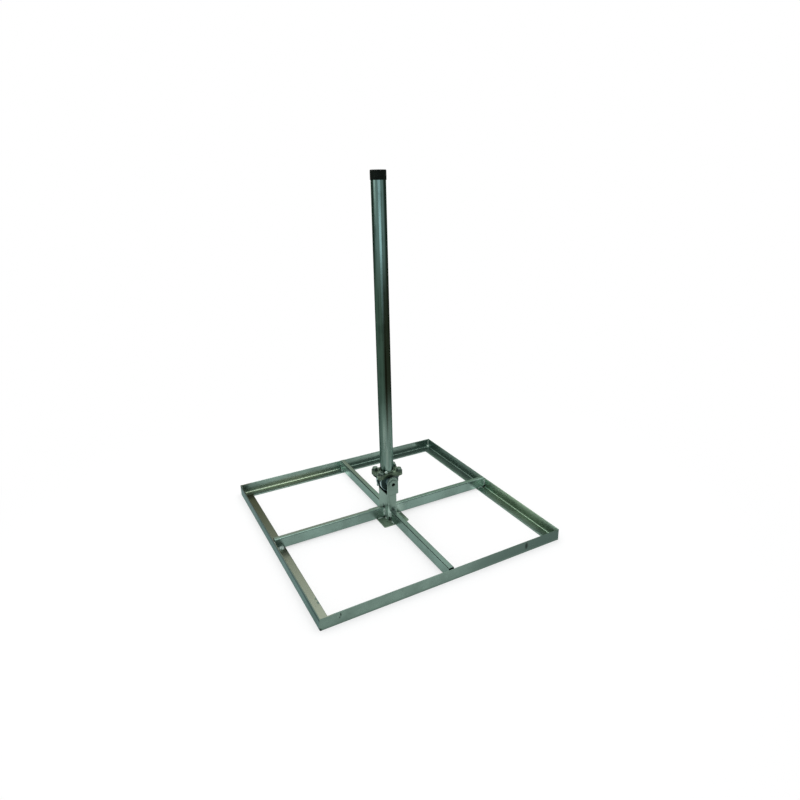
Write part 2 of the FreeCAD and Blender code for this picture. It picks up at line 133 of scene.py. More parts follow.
# Lamps: place, point that they face, width, height, radiance of the face and whether it is cool
Softbox = namedtuple("Softbox", "name place aim width height radiance cool")
SOFTBOXES = (
    Softbox("overhead", (0.2, 0.3, 3.2), (0, 0, 0), 3.2, 3.2, 1.7, False),
    Softbox("window", (-0.98, -2.84, 1.58), (0, 0, 1.58), 2.1, 1.24, 0.52, True),
    Softbox("window_sill", (-0.98, -2.84, 0.76), (0, 0, 0.76), 1.7, 0.38, 1.20, True),
    Softbox("window_foot", (-0.98, -2.84, 0.34), (0, 0, 0.34), 1.7, 0.44, 0.22, True),
    Softbox("side_fill", (-2.93, 0.05, 1.65), (0, 0, 0.8), 1.6, 1.4, 0.7, False),
)

# Roughness where a finish is smooth and where it is rough, and its share of bare metal
Surface = namedtuple("Surface", "smooth rough metallic")
RAIL_SURFACE = Surface(0.22, 0.33, 0.88)
ARM_SURFACE = Surface(0.20, 0.30, 0.80)
POST_SURFACE = Surface(0.26, 0.38, 0.70)
PLATE_SURFACE = Surface(0.26, 0.38, 0.60)
FLANGE_SURFACE = Surface(0.24, 0.38, 0.90)
MAST_SURFACE = Surface(0.14, 0.28, 1.00)
SPACER_SURFACE = Surface(0.18, 0.30, 0.35)
CHEEK_SURFACE = Surface(0.18, 0.30, 0.25)
BOLT_SURFACE = Surface(0.18, 0.30, 0.85)
WELD_SURFACE = Surface(0.30, 0.48, 0.15)
CAP_SURFACE = Surface(0.55, 0.70, 0.00)
CAP_SPECULAR = 0.16

# Strength of the relief and its height in metres
Relief = namedtuple("Relief", "strength height")
ZINC_RELIEF = Relief(0.015, 0.0010)
MAST_RELIEF = Relief(0.12, 0.00012)
PLATED_RELIEF = Relief(0.05, 0.0003)
WELD_RELIEF = Relief(0.15, 0.0004)
CAP_RELIEF = Relief(0.20, 0.0003)

# Widths of patches and grain in metres
PLATED_CLOUD_SIZE = 0.018
PLATED_GRAIN_SIZE = 0.0012
WELD_PATCH_SIZE = 0.006
WELD_GRAIN_SIZE = 0.0012
CAP_PATCH_SIZE = 0.020
CAP_GRAIN_SIZE = 0.0009

# Noise values between which a patch turns from dark to light
ZINC_CONTRAST = (0.30, 0.70)
BLOTCH_CONTRAST = (0.36, 0.60)
MAST_CONTRAST = (0.75, 1.0)
PLATED_CONTRAST = (0.32, 0.68)
GRAIN_CONTRAST = (0.3, 0.7)
WELD_CONTRAST = (0.30, 0.66)
CAP_CONTRAST = (0.35, 0.75)

# Make-up of hot-dip zinc: shares of clouds and crystals in its tone, share of the grain in its
# relief, grains in a crystal, waves in a cloud, and crystals in a blotch on flame-cut plate
CLOUD_SHARE = 0.80
CRYSTAL_SHARE = 0.20
GRAIN_SHARE = 0.10
GRAINS_PER_CRYSTAL = 5
WAVES_PER_CLOUD = 3
CRYSTALS_PER_BLOTCH = 1.2

# Drawing marks on the mast: squeeze of the pattern along the tube, and streaks in a band
STREAK_SQUEEZE = (1.0, 1.0, 0.01)
STREAKS_PER_BAND = 8

# Open share below which a hollow gets painted shade, and the part of that share at which that shade is
# darkest
FLANGE_OPEN = 0.36
RAIL_OPEN = 0.26
TUBE_OPEN = 0.16
PLATED_OPEN = 0.06
CHEEK_OPEN = 0.01
DARKEST_PART = 0.25
HOLLOW_SAMPLES = 8

# Part of a normal along an axis that counts as facing it, and a spot's fade from its rim inwards
FACING = (0.5, 0.8)
SPOT_FADE = (1.0, 0.3)

# Margins of masks in metres: towards the upright axis, at an edge, and under a tube's skin
AXIS_MARGIN = 0.004
EDGE_MARGIN = 0.0003
SKIN = 0.0015

# Marks in metres: x where the left flange's patina and painted reflection gradient begins and its
# fade, levels between which the mast's foot turns from dull to bright, the dark line on the left rail's
# outer face, top of the beads that lie on the rails, their distance from the middle, and height of the
# painted shade under the ears
PATINA_SHEEN_EDGE = -0.392
PATINA_SHEEN_FADE = 0.010
DULL_FOOT_LOW = 0.24
DULL_FOOT_HIGH = 0.52
LINE_FACE = -0.4385
LINE_FADE = 0.001
LINE_LOW = 0.027
LINE_HIGH = 0.033
SEAT_TOP = 0.012
SEAT_DISTANCE = 0.392
SHADOW_HEIGHT = 0.0052

# Spots on the rails, arms, post, flanges and mast, marks and tone as well as painted light and
# shade: middle, half sizes and name of the colour
RAIL_SPOTS = (
    ((-0.2300, 0.430, 0.0040), (0.300, 0.034, 0.0260), "rail_pale"),
    ((0.4350, -0.210, 0.0100), (0.041, 0.330, 0.0800), "rail_green"),
    ((0.4400, -0.440, 0.0200), (0.580, 0.003, 0.0800), "rail_shade"),
    # Painted shade along the front rail's lower edge
    ((0.0000, -0.440, -0.0010), (1.600, 0.004, 0.0110), "rail_dark"),
    ((-0.3755, -0.440, 0.0300), (0.0028, 0.003, 0.0090), "stain_and_shade"),
    ((-0.3790, -0.440, 0.0215), (0.0022, 0.003, 0.0045), "stain_and_shade"),
    ((0.2960, -0.440, 0.0240), (0.0085, 0.003, 0.0170), "stain_and_shade"),
    ((-0.4040, -0.331, 0.0040), (0.0050, 0.009, 0.0030), "rail_shade"),
    ((-0.4035, -0.312, 0.0040), (0.0045, 0.008, 0.0030), "rail_shade"),
    # Painted shade at the foot of the front corner
    ((-0.4400, -0.440, 0.0030), (0.0080, 0.008, 0.0080), "stain_and_shade"),
    # Painted shade on the front of the left rail's top edge
    ((-0.4400, -0.440, 0.0400), (0.0060, 0.480, 0.0045), "rail_dark"),
)
ARM_SPOTS = (
    ((0.0000, 0.000, 0.0200), (0.0750, 0.105, 0.0600), "arm_pale"),
    # Painted light on the right arm's side close to the rail
    ((0.4200, -0.010, 0.0240), (0.0600, 0.006, 0.0400), "arm_painted_light"),
    ((-0.0100, 0.220, 0.0200), (0.0040, 0.330, 0.0500), "arm_light"),
    # Painted light on the back arm's side close to the rail
    ((-0.0100, 0.405, 0.0240), (0.0060, 0.090, 0.0500), "arm_painted_light"),
    ((0.0020, 0.330, 0.0440), (0.0120, 0.260, 0.0030), "arm_brown"),
    ((-0.2600, 0.003, 0.0440), (0.3300, 0.0105, 0.0030), "arm_brown"),
    # Painted shade along the rounded top edge of the front and back arms
    ((-0.0092, 0.000, 0.0432), (0.0026, 1.200, 0.0026), "rail_shade"),
    ((-0.0090, 0.250, 0.0430), (0.0036, 0.420, 0.0036), "rail_line"),
)
POST_SPOTS = (
    # Painted light at the post's foot
    ((-0.0175, -0.028, 0.0320), (0.0060, 0.024, 0.0360), "post_painted_light"),
    ((-0.0120, -0.040, 0.0340), (0.0130, 0.006, 0.0320), "post_painted_light"),
    # Painted shadow where the post meets the arms' tops
    ((-0.0175, 0.000, 0.0500), (0.0040, 0.013, 0.0110), "rail_shade"),
    ((0.0040, -0.040, 0.0500), (0.0130, 0.004, 0.0110), "rail_shade"),
)
FLANGE_SPOTS = (
    ((0.0170, -0.0240, 0.1910), (0.0150, 0.0050, 0.0060), "flange_pale"),
)
# Painted reflections on the mast: upright light and dark streaks where the glossy tube reflects the
# room
MAST_PAINTED_REFLECTIONS = (
    ((-0.0236, -0.0045, 0.350), (0.0140, 0.0140, 0.220), "mast_dark_and_shade"),
    ((-0.0084, -0.0225, 0.240), (0.0065, 0.0065, 0.080), "mast_painted_highlight"),
    ((-0.0147, -0.0190, 0.335), (0.0070, 0.0070, 0.090), "mast_painted_highlight"),
    ((-0.0042, -0.0236, 0.520), (0.0055, 0.0055, 0.260), "mast_shade"),
    ((0.0054, -0.0234, 0.400), (0.0050, 0.0050, 0.110), "mast_light_and_highlight"),
)


def colour_property(name, description, default):
    return bpy.props.FloatVectorProperty(
        name=name, description=description, default=default,
        size=3, subtype="COLOR", min=0.0, max=1.0,
    )


def length_property(name, description, default):
    return bpy.props.FloatProperty(
        name=name, description=description, default=default, unit="LENGTH", precision=5
    )


def angle_property(name, description, degrees):
    return bpy.props.FloatProperty(
        name=name, description=description, default=math.radians(degrees), subtype="ANGLE"
    )


def share_property(name, description, default):
    return bpy.props.FloatProperty(
        name=name, description=description, default=default, subtype="FACTOR", min=0.0, max=1.0
    )


class StandFinishes(bpy.types.PropertyGroup):
    """Colours and grain of the stand's metals and plastic, with painted light and shade."""

    rail_light: colour_property("Rail light", "Zinc on the angle steel, light", (0.232, 0.338, 0.285))
    rail_dark: colour_property("Rail dark", "Zinc on the angle steel, dark", (0.160, 0.236, 0.196))
    rail_edge: colour_property("Rail edge", "Tint of the angle steel seen edge on", (0.40, 0.52, 0.53))
    # Brownish patina on the left flange with a painted reflection gradient: lit front end, shaded back
    # end
    patina_lit_front: colour_property("Bloom front", "Left flange, front end", (0.290, 0.325, 0.252))
    patina_shaded_back: colour_property("Bloom back", "Left flange, back end", (0.085, 0.088, 0.052))
    rail_pale: colour_property("Rail pale", "Pale zinc on the back rail", (0.440, 0.530, 0.390))
    rail_green: colour_property("Rail green", "Green zinc on the right rail", (0.310, 0.440, 0.308))
    # On the arms this line is painted shade along the rounded top edge
    rail_line: colour_property("Rail line", "Dark line on a rail and an arm", (0.060, 0.088, 0.074))
    rail_shade: colour_property("Shade", "Darker zinc in streaks and shade", (0.112, 0.170, 0.144))
    arm_light: colour_property("Arm light", "Zinc on the arms, light", (0.212, 0.322, 0.276))
    arm_dark: colour_property("Arm dark", "Zinc on the arms, dark", (0.155, 0.232, 0.196))
    arm_pale: colour_property("Arm pale", "Pale zinc at the arms' inner ends", (0.380, 0.520, 0.445))
    # Painted light on the arms' sides close to the rails
    arm_painted_light: colour_property("Arm bright", "Arms' sides close to the rail", (0.600, 0.860, 0.740))
    arm_brown: colour_property("Arm brown", "Brownish zinc on top of arms", (0.200, 0.250, 0.198))
    plate_light: colour_property("Plate light", "Base plate, light", (0.285, 0.395, 0.290))
    plate_dark: colour_property("Plate dark", "Base plate, dark", (0.125, 0.185, 0.130))
    tube_light: colour_property("Post light", "Zinc on the post, light", (0.274, 0.387, 0.324))
    tube_dark: colour_property("Post dark", "Zinc on the post, dark", (0.196, 0.286, 0.236))
    # Painted light at the post's foot
    post_painted_light: colour_property("Post pale", "Pale zinc at the post's foot", (0.500, 0.660, 0.570))
    tube_edge: colour_property("Tube edge", "Tint of the tubes seen edge on", (0.50, 0.60, 0.58))
    flange_light: colour_property("Flange light", "Head plates, light", (0.210, 0.290, 0.205))
    flange_dark: colour_property("Flange dark", "Head plates, dark", (0.085, 0.120, 0.085))
    flange_pale: colour_property("Flange pale", "Pale streak beside the mast", (0.460, 0.600, 0.450))
    # Mast tone, also laid as painted highlight and shade streaks; the pale streak is a painted
    # highlight
    mast_light_and_highlight: colour_property("Mast light", "Drawn mast tube, light", (0.225, 0.340, 0.292))
    mast_dark_and_shade: colour_property("Mast dark", "Drawn mast tube, dark", (0.128, 0.202, 0.170))
    mast_painted_highlight: colour_property("Mast pale", "Pale streak at the mast's foot", (0.340, 0.460, 0.400))
    mast_shade: colour_property("Mast shade", "Dark streak on the mast", (0.085, 0.112, 0.080))
    mast_edge: colour_property("Mast edge", "Tint of the mast seen edge on", (0.22, 0.30, 0.28))
    zinc_light: colour_property("Zinc light", "Bright plated pieces, light", (0.420, 0.640, 0.640))
    zinc_dark: colour_property("Zinc dark", "Bright plated pieces, dark", (0.200, 0.330, 0.335))
    bolt_light: colour_property("Bolt light", "Bolts and washers, light", (0.215, 0.305, 0.255))
    bolt_dark: colour_property("Bolt dark", "Bolts and washers, dark", (0.095, 0.137, 0.114))
    # Rims carry a painted highlight and the broad faces a painted shade
    rim_highlight_light: colour_property("Rim light", "Rims of the cheeks, light", (0.620, 0.900, 0.860))
    rim_highlight_dark: colour_property("Rim dark", "Rims of the cheeks, dark", (0.380, 0.580, 0.560))
    cheek_face_shade: colour_property("Cheek face", "Dull broad faces of the cheeks", (0.050, 0.092, 0.078))
    weld_light: colour_property("Weld light", "Crest of a weld bead", (0.670, 0.820, 0.720))
    weld_dark: colour_property("Weld dark", "Valley of a weld bead", (0.362, 0.490, 0.413))
    # The seat bead's pair is a painted highlight
    seat_highlight_light: colour_property("Seat light", "Bright bead on a rail, light", (0.850, 0.980, 0.920))
    seat_highlight_dark: colour_property("Seat dark", "Bright bead on a rail, dark", (0.555, 0.700, 0.630))
    # Painted shade laid into hollows, gaps and the insides of tubes
    hollow: colour_property("Hollow", "Dirt inside hollows and tubes", (0.012, 0.018, 0.014))
    # Dark run marks on the front rail, also laid as painted shade at the front corner's foot
    stain_and_shade: colour_property("Stain", "Dark run marks on the front rail", (0.030, 0.045, 0.035))
    cap_light: colour_property("Cap light", "Black plastic cap, worn", (0.0080, 0.0140, 0.0100))
    cap_dark: colour_property("Cap dark", "Black plastic cap", (0.0030, 0.0060, 0.0042))
    # Width of a painted highlight band on the cheek's round foot
    edge_highlight_width: length_property("Worn edge", "Width of the bright edge of a cheek's foot", 0.0019)
    spangle_size: length_property("Spangle", "Width of a zinc crystal", 0.008)
    cloud_size: length_property("Cloud", "Width of a light or dark patch", 0.11)
    streak_size: length_property("Streak", "Width of a drawing streak on the mast", 0.0010)
    hollow_reach: length_property("Reach", "How deep a hollow has to be to look dark", 0.070)


class StandWelds(bpy.types.PropertyGroup):
    """Sizes of the weld beads."""

    seam_radius: length_property("Seam", "Upright bead in a frame corner", 0.0038)
    root_radius: length_property("Root", "Blob at the foot of a corner bead", 0.0062)
    butt_radius: length_property("Butt", "Upright bead between an arm's end and a rail", 0.0034)
    post_radius: length_property("Post", "Upright bead between an arm and the post", 0.0062)
    seat_leg: length_property("Seat", "Leg of the largest bead along an arm on a rail", 0.0110)
    plate_leg: length_property("Plate", "Leg of the beads along an arm on the base plate", 0.0036)
    fillet_leg: length_property("Fillet", "Leg of the beads round the post's foot", 0.0034)
    ear_leg: length_property("Ear", "Leg of the beads behind the ears", 0.0032)
    cheek_leg: length_property("Cheek", "Leg of the beads under the head plate", 0.0040)
    notch_room: length_property("Notch", "Bare length beside a vent notch", 0.0070)
    drain_room: length_property("Drain", "Bare length beside a drain notch", 0.0150)
    drop_radius: length_property("Drop", "Weld drop at the end of the bead round the mast", 0.0052)
    ripple_pitch: length_property("Ripple", "Distance from one ripple to the next", 0.0030)
    ripple_depth: share_property("Depth", "Depth of a ripple against the bead", 0.16)
    unevenness: share_property("Uneven", "Change of size from ripple to ripple", 0.10)
    sink: length_property("Sink", "Depth of a bead's root in the metal", 0.0002)


class StandStudio(bpy.types.PropertyGroup):
    """Camera, floor and lamps."""

    camera_place: bpy.props.FloatVectorProperty(
        name="Camera", description="Where the camera stands", size=3, subtype="TRANSLATION",
        unit="LENGTH", default=(-0.8392, -1.7012, 1.1757),
    )
    azimuth: angle_property("Azimuth", "Camera's bearing round the mast", -29.01)
    elevation: angle_property("Elevation", "Camera's view down", 20.24)
    roll: angle_property("Roll", "Camera's tilt to the side", -0.75)
    lens: bpy.props.FloatProperty(
        name="Lens", description="Focal length", default=26.15, unit="CAMERA"
    )
    shift_x: bpy.props.FloatProperty(name="Shift X", description="Framing", default=-0.0136)
    shift_y: bpy.props.FloatProperty(name="Shift Y", description="Framing", default=-0.0053)
    floor_half: length_property("Floor", "Half side of the floor", 30.0)
    floor_colour: colour_property("Floor colour", "Pale floor", (0.42, 0.42, 0.42))
    floor_lift: share_property("Floor lift", "Glow that makes the lit floor white", 0.62)
    shadow_radius: length_property("Shadow", "Radius inside which the floor keeps shadows", 0.95)
    white_radius: length_property("White", "Radius outside which the floor is plain white", 1.60)
    fill_level: share_property("Fill", "Level of the room's soft light", 0.55)
    pool_inner: length_property("Pool", "Radius of the bright floor seen in the metal", 0.20)
    pool_outer: length_property("Pool's end", "Radius where that floor has gone dim", 1.50)
    drape_radius: length_property("Drape", "Radius of the dim drape", 3.20)
    drape_back: length_property("Drape back", "Height of the drape behind the stand", 2.70)
    drape_front: length_property("Drape front", "Height of the drape in front", 8.00)
    dim_floor_left: colour_property("Dim floor left", "Far floor, left", (0.170, 0.210, 0.175))
    dim_floor_right: colour_property("Dim floor right", "Far floor, right", (0.060, 0.056, 0.038))
    drape_near: colour_property("Drape near", "Drape in front, low down", (0.400, 0.460, 0.480))
    drape_far: colour_property("Drape far", "Drape behind, low down", (0.055, 0.070, 0.060))
    drape_high: colour_property("Drape high", "Drape high up", (0.055, 0.065, 0.055))
    drape_pale: colour_property("Drape pale", "Pale wall above the drape behind", (0.520, 0.580, 0.440))
    drape_panel: colour_property("Drape panel", "Brightest panel of that wall", (0.800, 0.820, 0.740))
    window_tint: colour_property("Window", "Cool light of the window lamp", (0.72, 0.82, 1.00))


def with_alpha(colour):
    """A plain colour as a socket takes it. A socket stays as it is."""
    return colour if isinstance(colour, bpy.types.NodeSocket) else (*colour, 1.0)


class Finish:
    """Node tree of one material, on the piece's own Object coordinates."""

    def __init__(self, name):
        self.material = bpy.data.materials.new(name)
        self.material.use_nodes = True
        self.tree = self.material.node_tree
        self.shader = self.tree.nodes["Principled BSDF"]
        self.coords = self.add("ShaderNodeTexCoord").outputs["Object"]

    def add(self, kind, **settings):
        node = self.tree.nodes.new(kind)
        for name, value in settings.items():
            setattr(node, name, value)
        return node

    def set(self, node, name, value):
        """Link an output to a node's input, or set the input to a plain value."""
        if isinstance(value, bpy.types.NodeSocket):
            self.tree.links.new(value, node.inputs[name])
        else:
            node.inputs[name].default_value = value

    def stretched(self, scale):
        mapping = self.add("ShaderNodeMapping")
        self.set(mapping, "Vector", self.coords)
        self.set(mapping, "Scale", scale)
        return mapping.outputs["Vector"]

    def noise(self, width, detail=4.0, coords=None):
        node = self.add("ShaderNodeTexNoise")
        self.set(node, "Vector", coords or self.coords)
        self.set(node, "Scale", 1.0 / width)
        self.set(node, "Detail", detail)
        return node.outputs["Fac"]

    def crystals(self, width):
        """A different grey in each zinc crystal."""
        node = self.add("ShaderNodeTexVoronoi")
        self.set(node, "Vector", self.coords)
        self.set(node, "Scale", 1.0 / width)
        split = self.add("ShaderNodeSeparateColor")
        self.set(split, "Color", node.outputs["Color"])
        return split.outputs["Red"]

    def spread(self, value, low, high, out_low=0.0, out_high=1.0):
        node = self.add("ShaderNodeMapRange", interpolation_type="SMOOTHSTEP")
        self.set(node, "Value", value)
        self.set(node, "From Min", low)
        self.set(node, "From Max", high)
        self.set(node, "To Min", out_low)
        self.set(node, "To Max", out_high)
        return node.outputs["Result"]

    def combine(self, first, second, operation="ADD"):
        node = self.add("ShaderNodeMath", operation=operation)
        node.use_clamp = operation == "ADD"
        self.set(node, 0, first)
        self.set(node, 1, second)
        return node.outputs["Value"]

    def blend(self, share, first, second):
        """Mix two colours. The sockets have equal names for each data type, so they go by number."""
        node = self.add("ShaderNodeMix", data_type="RGBA")
        self.set(node, 0, share)
        self.set(node, 6, with_alpha(first))
        self.set(node, 7, with_alpha(second))
        return node.outputs[2]

    def hollow(self, reach, open_share):
        """Mask of painted shade: 1 deep inside tubes, notches and gaps, 0 where at least the open share
        is clear.
        """
        node = self.add("ShaderNodeAmbientOcclusion", samples=HOLLOW_SAMPLES)
        self.set(node, "Distance", reach)
        return self.spread(node.outputs["AO"], open_share, open_share * DARKEST_PART)

    def vector_math(self, operation, first, second=None, output="Vector"):
        node = self.add("ShaderNodeVectorMath", operation=operation)
        self.set(node, 0, first)
        if second is not None:
            self.set(node, 1, second)
        return node.outputs[output]

    def axis(self, name, vector=None):
        split = self.add("ShaderNodeSeparateXYZ")
        self.set(split, "Vector", vector or self.coords)
        return split.outputs[name]

    def facing_up(self):
        """1 on faces that look up, 0 on upright ones."""
        shape = self.add("ShaderNodeNewGeometry")
        return self.spread(self.axis("Z", shape.outputs["Normal"]), *FACING)

    def facing_across(self):
        """1 on faces that look along Y, to either side."""
        shape = self.add("ShaderNodeNewGeometry")
        along = self.combine(self.axis("Y", shape.outputs["Normal"]), 0.0, "ABSOLUTE")
        return self.spread(along, *FACING)

    def facing_axis(self):
        """1 on faces that look towards the upright axis, such as the inside of the post."""
        shape = self.add("ShaderNodeNewGeometry")
        outward = self.vector_math(
            "DOT_PRODUCT", self.stretched(GROUND_PLANE), shape.outputs["Normal"], "Value"
        )
        return self.spread(outward, -AXIS_MARGIN / 2, -AXIS_MARGIN)

    def between(self, name, low, high):
        """1 where a coordinate lies between two values."""
        offset = self.combine(self.axis(name), (low + high) / 2, "SUBTRACT")
        half = (high - low) / 2
        size = self.combine(offset, 0.0, "ABSOLUTE")
        return self.spread(size, half + EDGE_MARGIN, half - EDGE_MARGIN)

    def spot(self, centre, half_size):
        """A soft spot with the given half size along each axis."""
        shifted = self.vector_math("SUBTRACT", self.coords, centre)
        scaled = self.vector_math("DIVIDE", shifted, half_size)
        return self.spread(self.vector_math("LENGTH", scaled, output="Value"), *SPOT_FADE)

    def ring(self, centre, radius, width):
        """1 in a band just inside a circle round an axis along Y."""
        shifted = self.vector_math("SUBTRACT", self.coords, centre)
        flat = self.vector_math("MULTIPLY", shifted, PIVOT_PLANE)
        distance = self.vector_math("LENGTH", flat, output="Value")
        offset = self.combine(distance, radius - width / 2, "SUBTRACT")
        size = self.combine(offset, 0.0, "ABSOLUTE")
        return self.spread(size, width / 2 + EDGE_MARGIN, width / 2 - EDGE_MARGIN)

    def spotted(self, colour, spots, finishes):
        """Lay the named colours over a colour, each in its spot."""
        for centre, half_size, name in spots:
            colour = self.blend(self.spot(centre, half_size), colour, getattr(finishes, name))
        return colour

    def bump(self, height, relief):
        node = self.add("ShaderNodeBump")
        self.set(node, "Height", height)
        self.set(node, "Strength", relief.strength)
        self.set(node, "Distance", relief.height)
        self.set(self.shader, "Normal", node.outputs["Normal"])

    def metal(self, colour, roughness, metallic, edge=WHITE):
        self.set(self.shader, "Metallic", metallic)
        self.set(self.shader, "Specular Tint", with_alpha(edge))
        self.set(self.shader, "Base Color", colour)
        self.set(self.shader, "Roughness", roughness)


def galvanised(name, light, dark, edge, finishes, surface):
    """Hot-dip zinc: clouds, crystals and a fine grain. Returns the finish and its colour."""
    finish = Finish(name)
    cloud = finish.spread(finish.noise(finishes.cloud_size), *ZINC_CONTRAST)
    crystal = finish.crystals(finishes.spangle_size)
    grain = finish.noise(finishes.spangle_size / GRAINS_PER_CRYSTAL, detail=3.0)
    share = finish.combine(
        finish.combine(cloud, CLOUD_SHARE, "MULTIPLY"),
        finish.combine(crystal, CRYSTAL_SHARE, "MULTIPLY"),
    )
    colour = finish.blend(share, dark, light)
    rough = finish.spread(share, 0.0, 1.0, surface.rough, surface.smooth)
    finish.metal(colour, rough, surface.metallic, edge)
    wave = finish.noise(finishes.cloud_size / WAVES_PER_CLOUD, detail=2.0)
    finish.bump(finish.combine(finish.combine(grain, GRAIN_SHARE, "MULTIPLY"), wave), ZINC_RELIEF)
    return finish, colour


def paint_hollow_shade(finish, colour, finishes, open_share, inside=None):
    """Painted shade in narrow hollows, and over the whole inside where a mask gives it."""
    hollow = finish.hollow(finishes.hollow_reach, open_share)
    if inside is not None:
        hollow = finish.combine(hollow, inside)
    colour = finish.blend(hollow, colour, finishes.hollow)
    finish.set(finish.shader, "Base Color", colour)
    return finish.material


def rail_finish(finishes):
    """Angle steel: brownish patina with a painted reflection gradient on the left flange, spots, some
    of them painted shade, and a dark line on the left rail.
    """
    finish, colour = galvanised(
        "zinc_on_angle", finishes.rail_light, finishes.rail_dark, finishes.rail_edge, finishes,
        RAIL_SURFACE,
    )
    low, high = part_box("rail_front")
    # Brownish patina on the left rail's up-facing faces, with a painted reflection gradient from light
    # front to dark back
    patina_and_sheen = finish.blend(
        finish.spread(finish.axis("Y"), low.x, high.x), finishes.patina_lit_front, finishes.patina_shaded_back
    )
    left = finish.spread(finish.axis("X"), PATINA_SHEEN_EDGE, PATINA_SHEEN_EDGE - PATINA_SHEEN_FADE)
    colour = finish.blend(finish.combine(left, finish.facing_up(), "MULTIPLY"), colour, patina_and_sheen)
    colour = finish.spotted(colour, RAIL_SPOTS, finishes)
    line = finish.combine(
        finish.spread(finish.axis("Z"), LINE_LOW, LINE_HIGH),
        finish.spread(finish.axis("X"), LINE_FACE, LINE_FACE - LINE_FADE), "MULTIPLY",
    )
    colour = finish.blend(line, colour, finishes.rail_line)
    return paint_hollow_shade(finish, colour, finishes, RAIL_OPEN)


def arm_finish(finishes):
    """Arms: dull zinc on rectangular tube, with spots, some of them painted light and painted shade,
    and painted shade inside.
    """
    finish, colour = galvanised(
        "zinc_on_arm", finishes.arm_light, finishes.arm_dark, finishes.tube_edge, finishes,
        ARM_SURFACE,
    )
    colour = finish.spotted(colour, ARM_SPOTS, finishes)
    low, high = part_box("arm_right")
    bore = high.y - SKIN
    across = finish.combine(finish.between("X", -bore, bore), finish.between("Y", -bore, bore))
    inside = finish.combine(
        across, finish.between("Z", low.z + SKIN, high.z - SKIN), "MULTIPLY"
    )
    return paint_hollow_shade(finish, colour, finishes, TUBE_OPEN, inside)


def post_finish(finishes):
    """Post, ears, collars and pivot sleeve: paler and duller zinc, with painted light at the foot,
    painted shade above the arms and under the ears, and painted shade on the inside.
    """
    finish, colour = galvanised(
        "zinc_on_post", finishes.tube_light, finishes.tube_dark, finishes.tube_edge, finishes,
        POST_SURFACE,
    )
    colour = finish.spotted(colour, POST_SPOTS, finishes)
    ear_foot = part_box("ear_front")[0].z
    post_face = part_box("post")[1].y
    depth = finish.combine(finish.axis("Y"), 0.0, "ABSOLUTE")
    shadow = finish.combine(
        finish.between("Z", ear_foot - SHADOW_HEIGHT, ear_foot),
        finish.spread(depth, post_face - SKIN, post_face), "MULTIPLY",
    )
    colour = finish.blend(shadow, colour, finishes.rail_shade)
    return paint_hollow_shade(finish, colour, finishes, TUBE_OPEN, finish.facing_axis())


def plate_finish(finishes):
    """Base plate: pale zinc, painted shade inside the post."""
    finish, colour = galvanised(
        "zinc_on_plate", finishes.plate_light, finishes.plate_dark, finishes.tube_edge, finishes,
        PLATE_SURFACE,
    )
    low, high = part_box("post")
    inside = finish.combine(
        finish.between("X", low.x + SKIN, high.x - SKIN),
        finish.between("Y", low.y + SKIN, high.y - SKIN), "MULTIPLY",
    )
    return paint_hollow_shade(finish, colour, finishes, TUBE_OPEN, inside)


def flange_finish(finishes):
    """Head plate and mast flange: blotchy zinc on flame-cut plate."""
    finish, colour = galvanised(
        "zinc_on_flange", finishes.flange_light, finishes.flange_dark, finishes.tube_edge, finishes,
        FLANGE_SURFACE,
    )
    blotch = finish.noise(finishes.spangle_size * CRYSTALS_PER_BLOTCH)
    colour = finish.blend(finish.spread(blotch, *BLOTCH_CONTRAST), finishes.flange_dark, colour)
    colour = finish.spotted(colour, FLANGE_SPOTS, finishes)
    return paint_hollow_shade(finish, colour, finishes, FLANGE_OPEN)


def mast_finish(finishes):
    """Drawn tube with fine streaks along its length, painted reflection streaks and a dull foot."""
    finish = Finish("drawn_mast")
    along = finish.stretched(STREAK_SQUEEZE)
    streaks = finish.noise(finishes.streak_size, detail=2.0, coords=along)
    bands = finish.noise(finishes.streak_size * STREAKS_PER_BAND, detail=2.0, coords=along)
    cloud = finish.noise(finishes.cloud_size, detail=3.0)
    share = finish.spread(finish.combine(bands, cloud), *MAST_CONTRAST)
    colour = finish.blend(share, finishes.mast_dark_and_shade, finishes.mast_light_and_highlight)
    colour = finish.spotted(colour, MAST_PAINTED_REFLECTIONS, finishes)
    rough = finish.spread(
        finish.axis("Z"), DULL_FOOT_LOW, DULL_FOOT_HIGH, MAST_SURFACE.rough, MAST_SURFACE.smooth
    )
    finish.metal(colour, rough, MAST_SURFACE.metallic, finishes.mast_edge)
    finish.bump(streaks, MAST_RELIEF)
    return paint_hollow_shade(finish, colour, finishes, FLANGE_OPEN)


def plated(name, light, dark, surface):
    """Zinc plate with soft clouds and a fine grain. Returns the finish and its colour."""
    finish = Finish(name)
    cloud = finish.spread(finish.noise(PLATED_CLOUD_SIZE), *PLATED_CONTRAST)
    grain = finish.noise(PLATED_GRAIN_SIZE, detail=2.0)
    colour = finish.blend(cloud, dark, light)
    rough = finish.spread(grain, *GRAIN_CONTRAST, surface.smooth, surface.rough)
    finish.metal(colour, rough, surface.metallic)
    finish.bump(grain, PLATED_RELIEF)
    return finish, colour


def plated_finish(name, light, dark, finishes, surface):
    """Spacers, bolts and washers: plain zinc plate."""
    finish, colour = plated(name, light, dark, surface)
    return paint_hollow_shade(finish, colour, finishes, PLATED_OPEN)


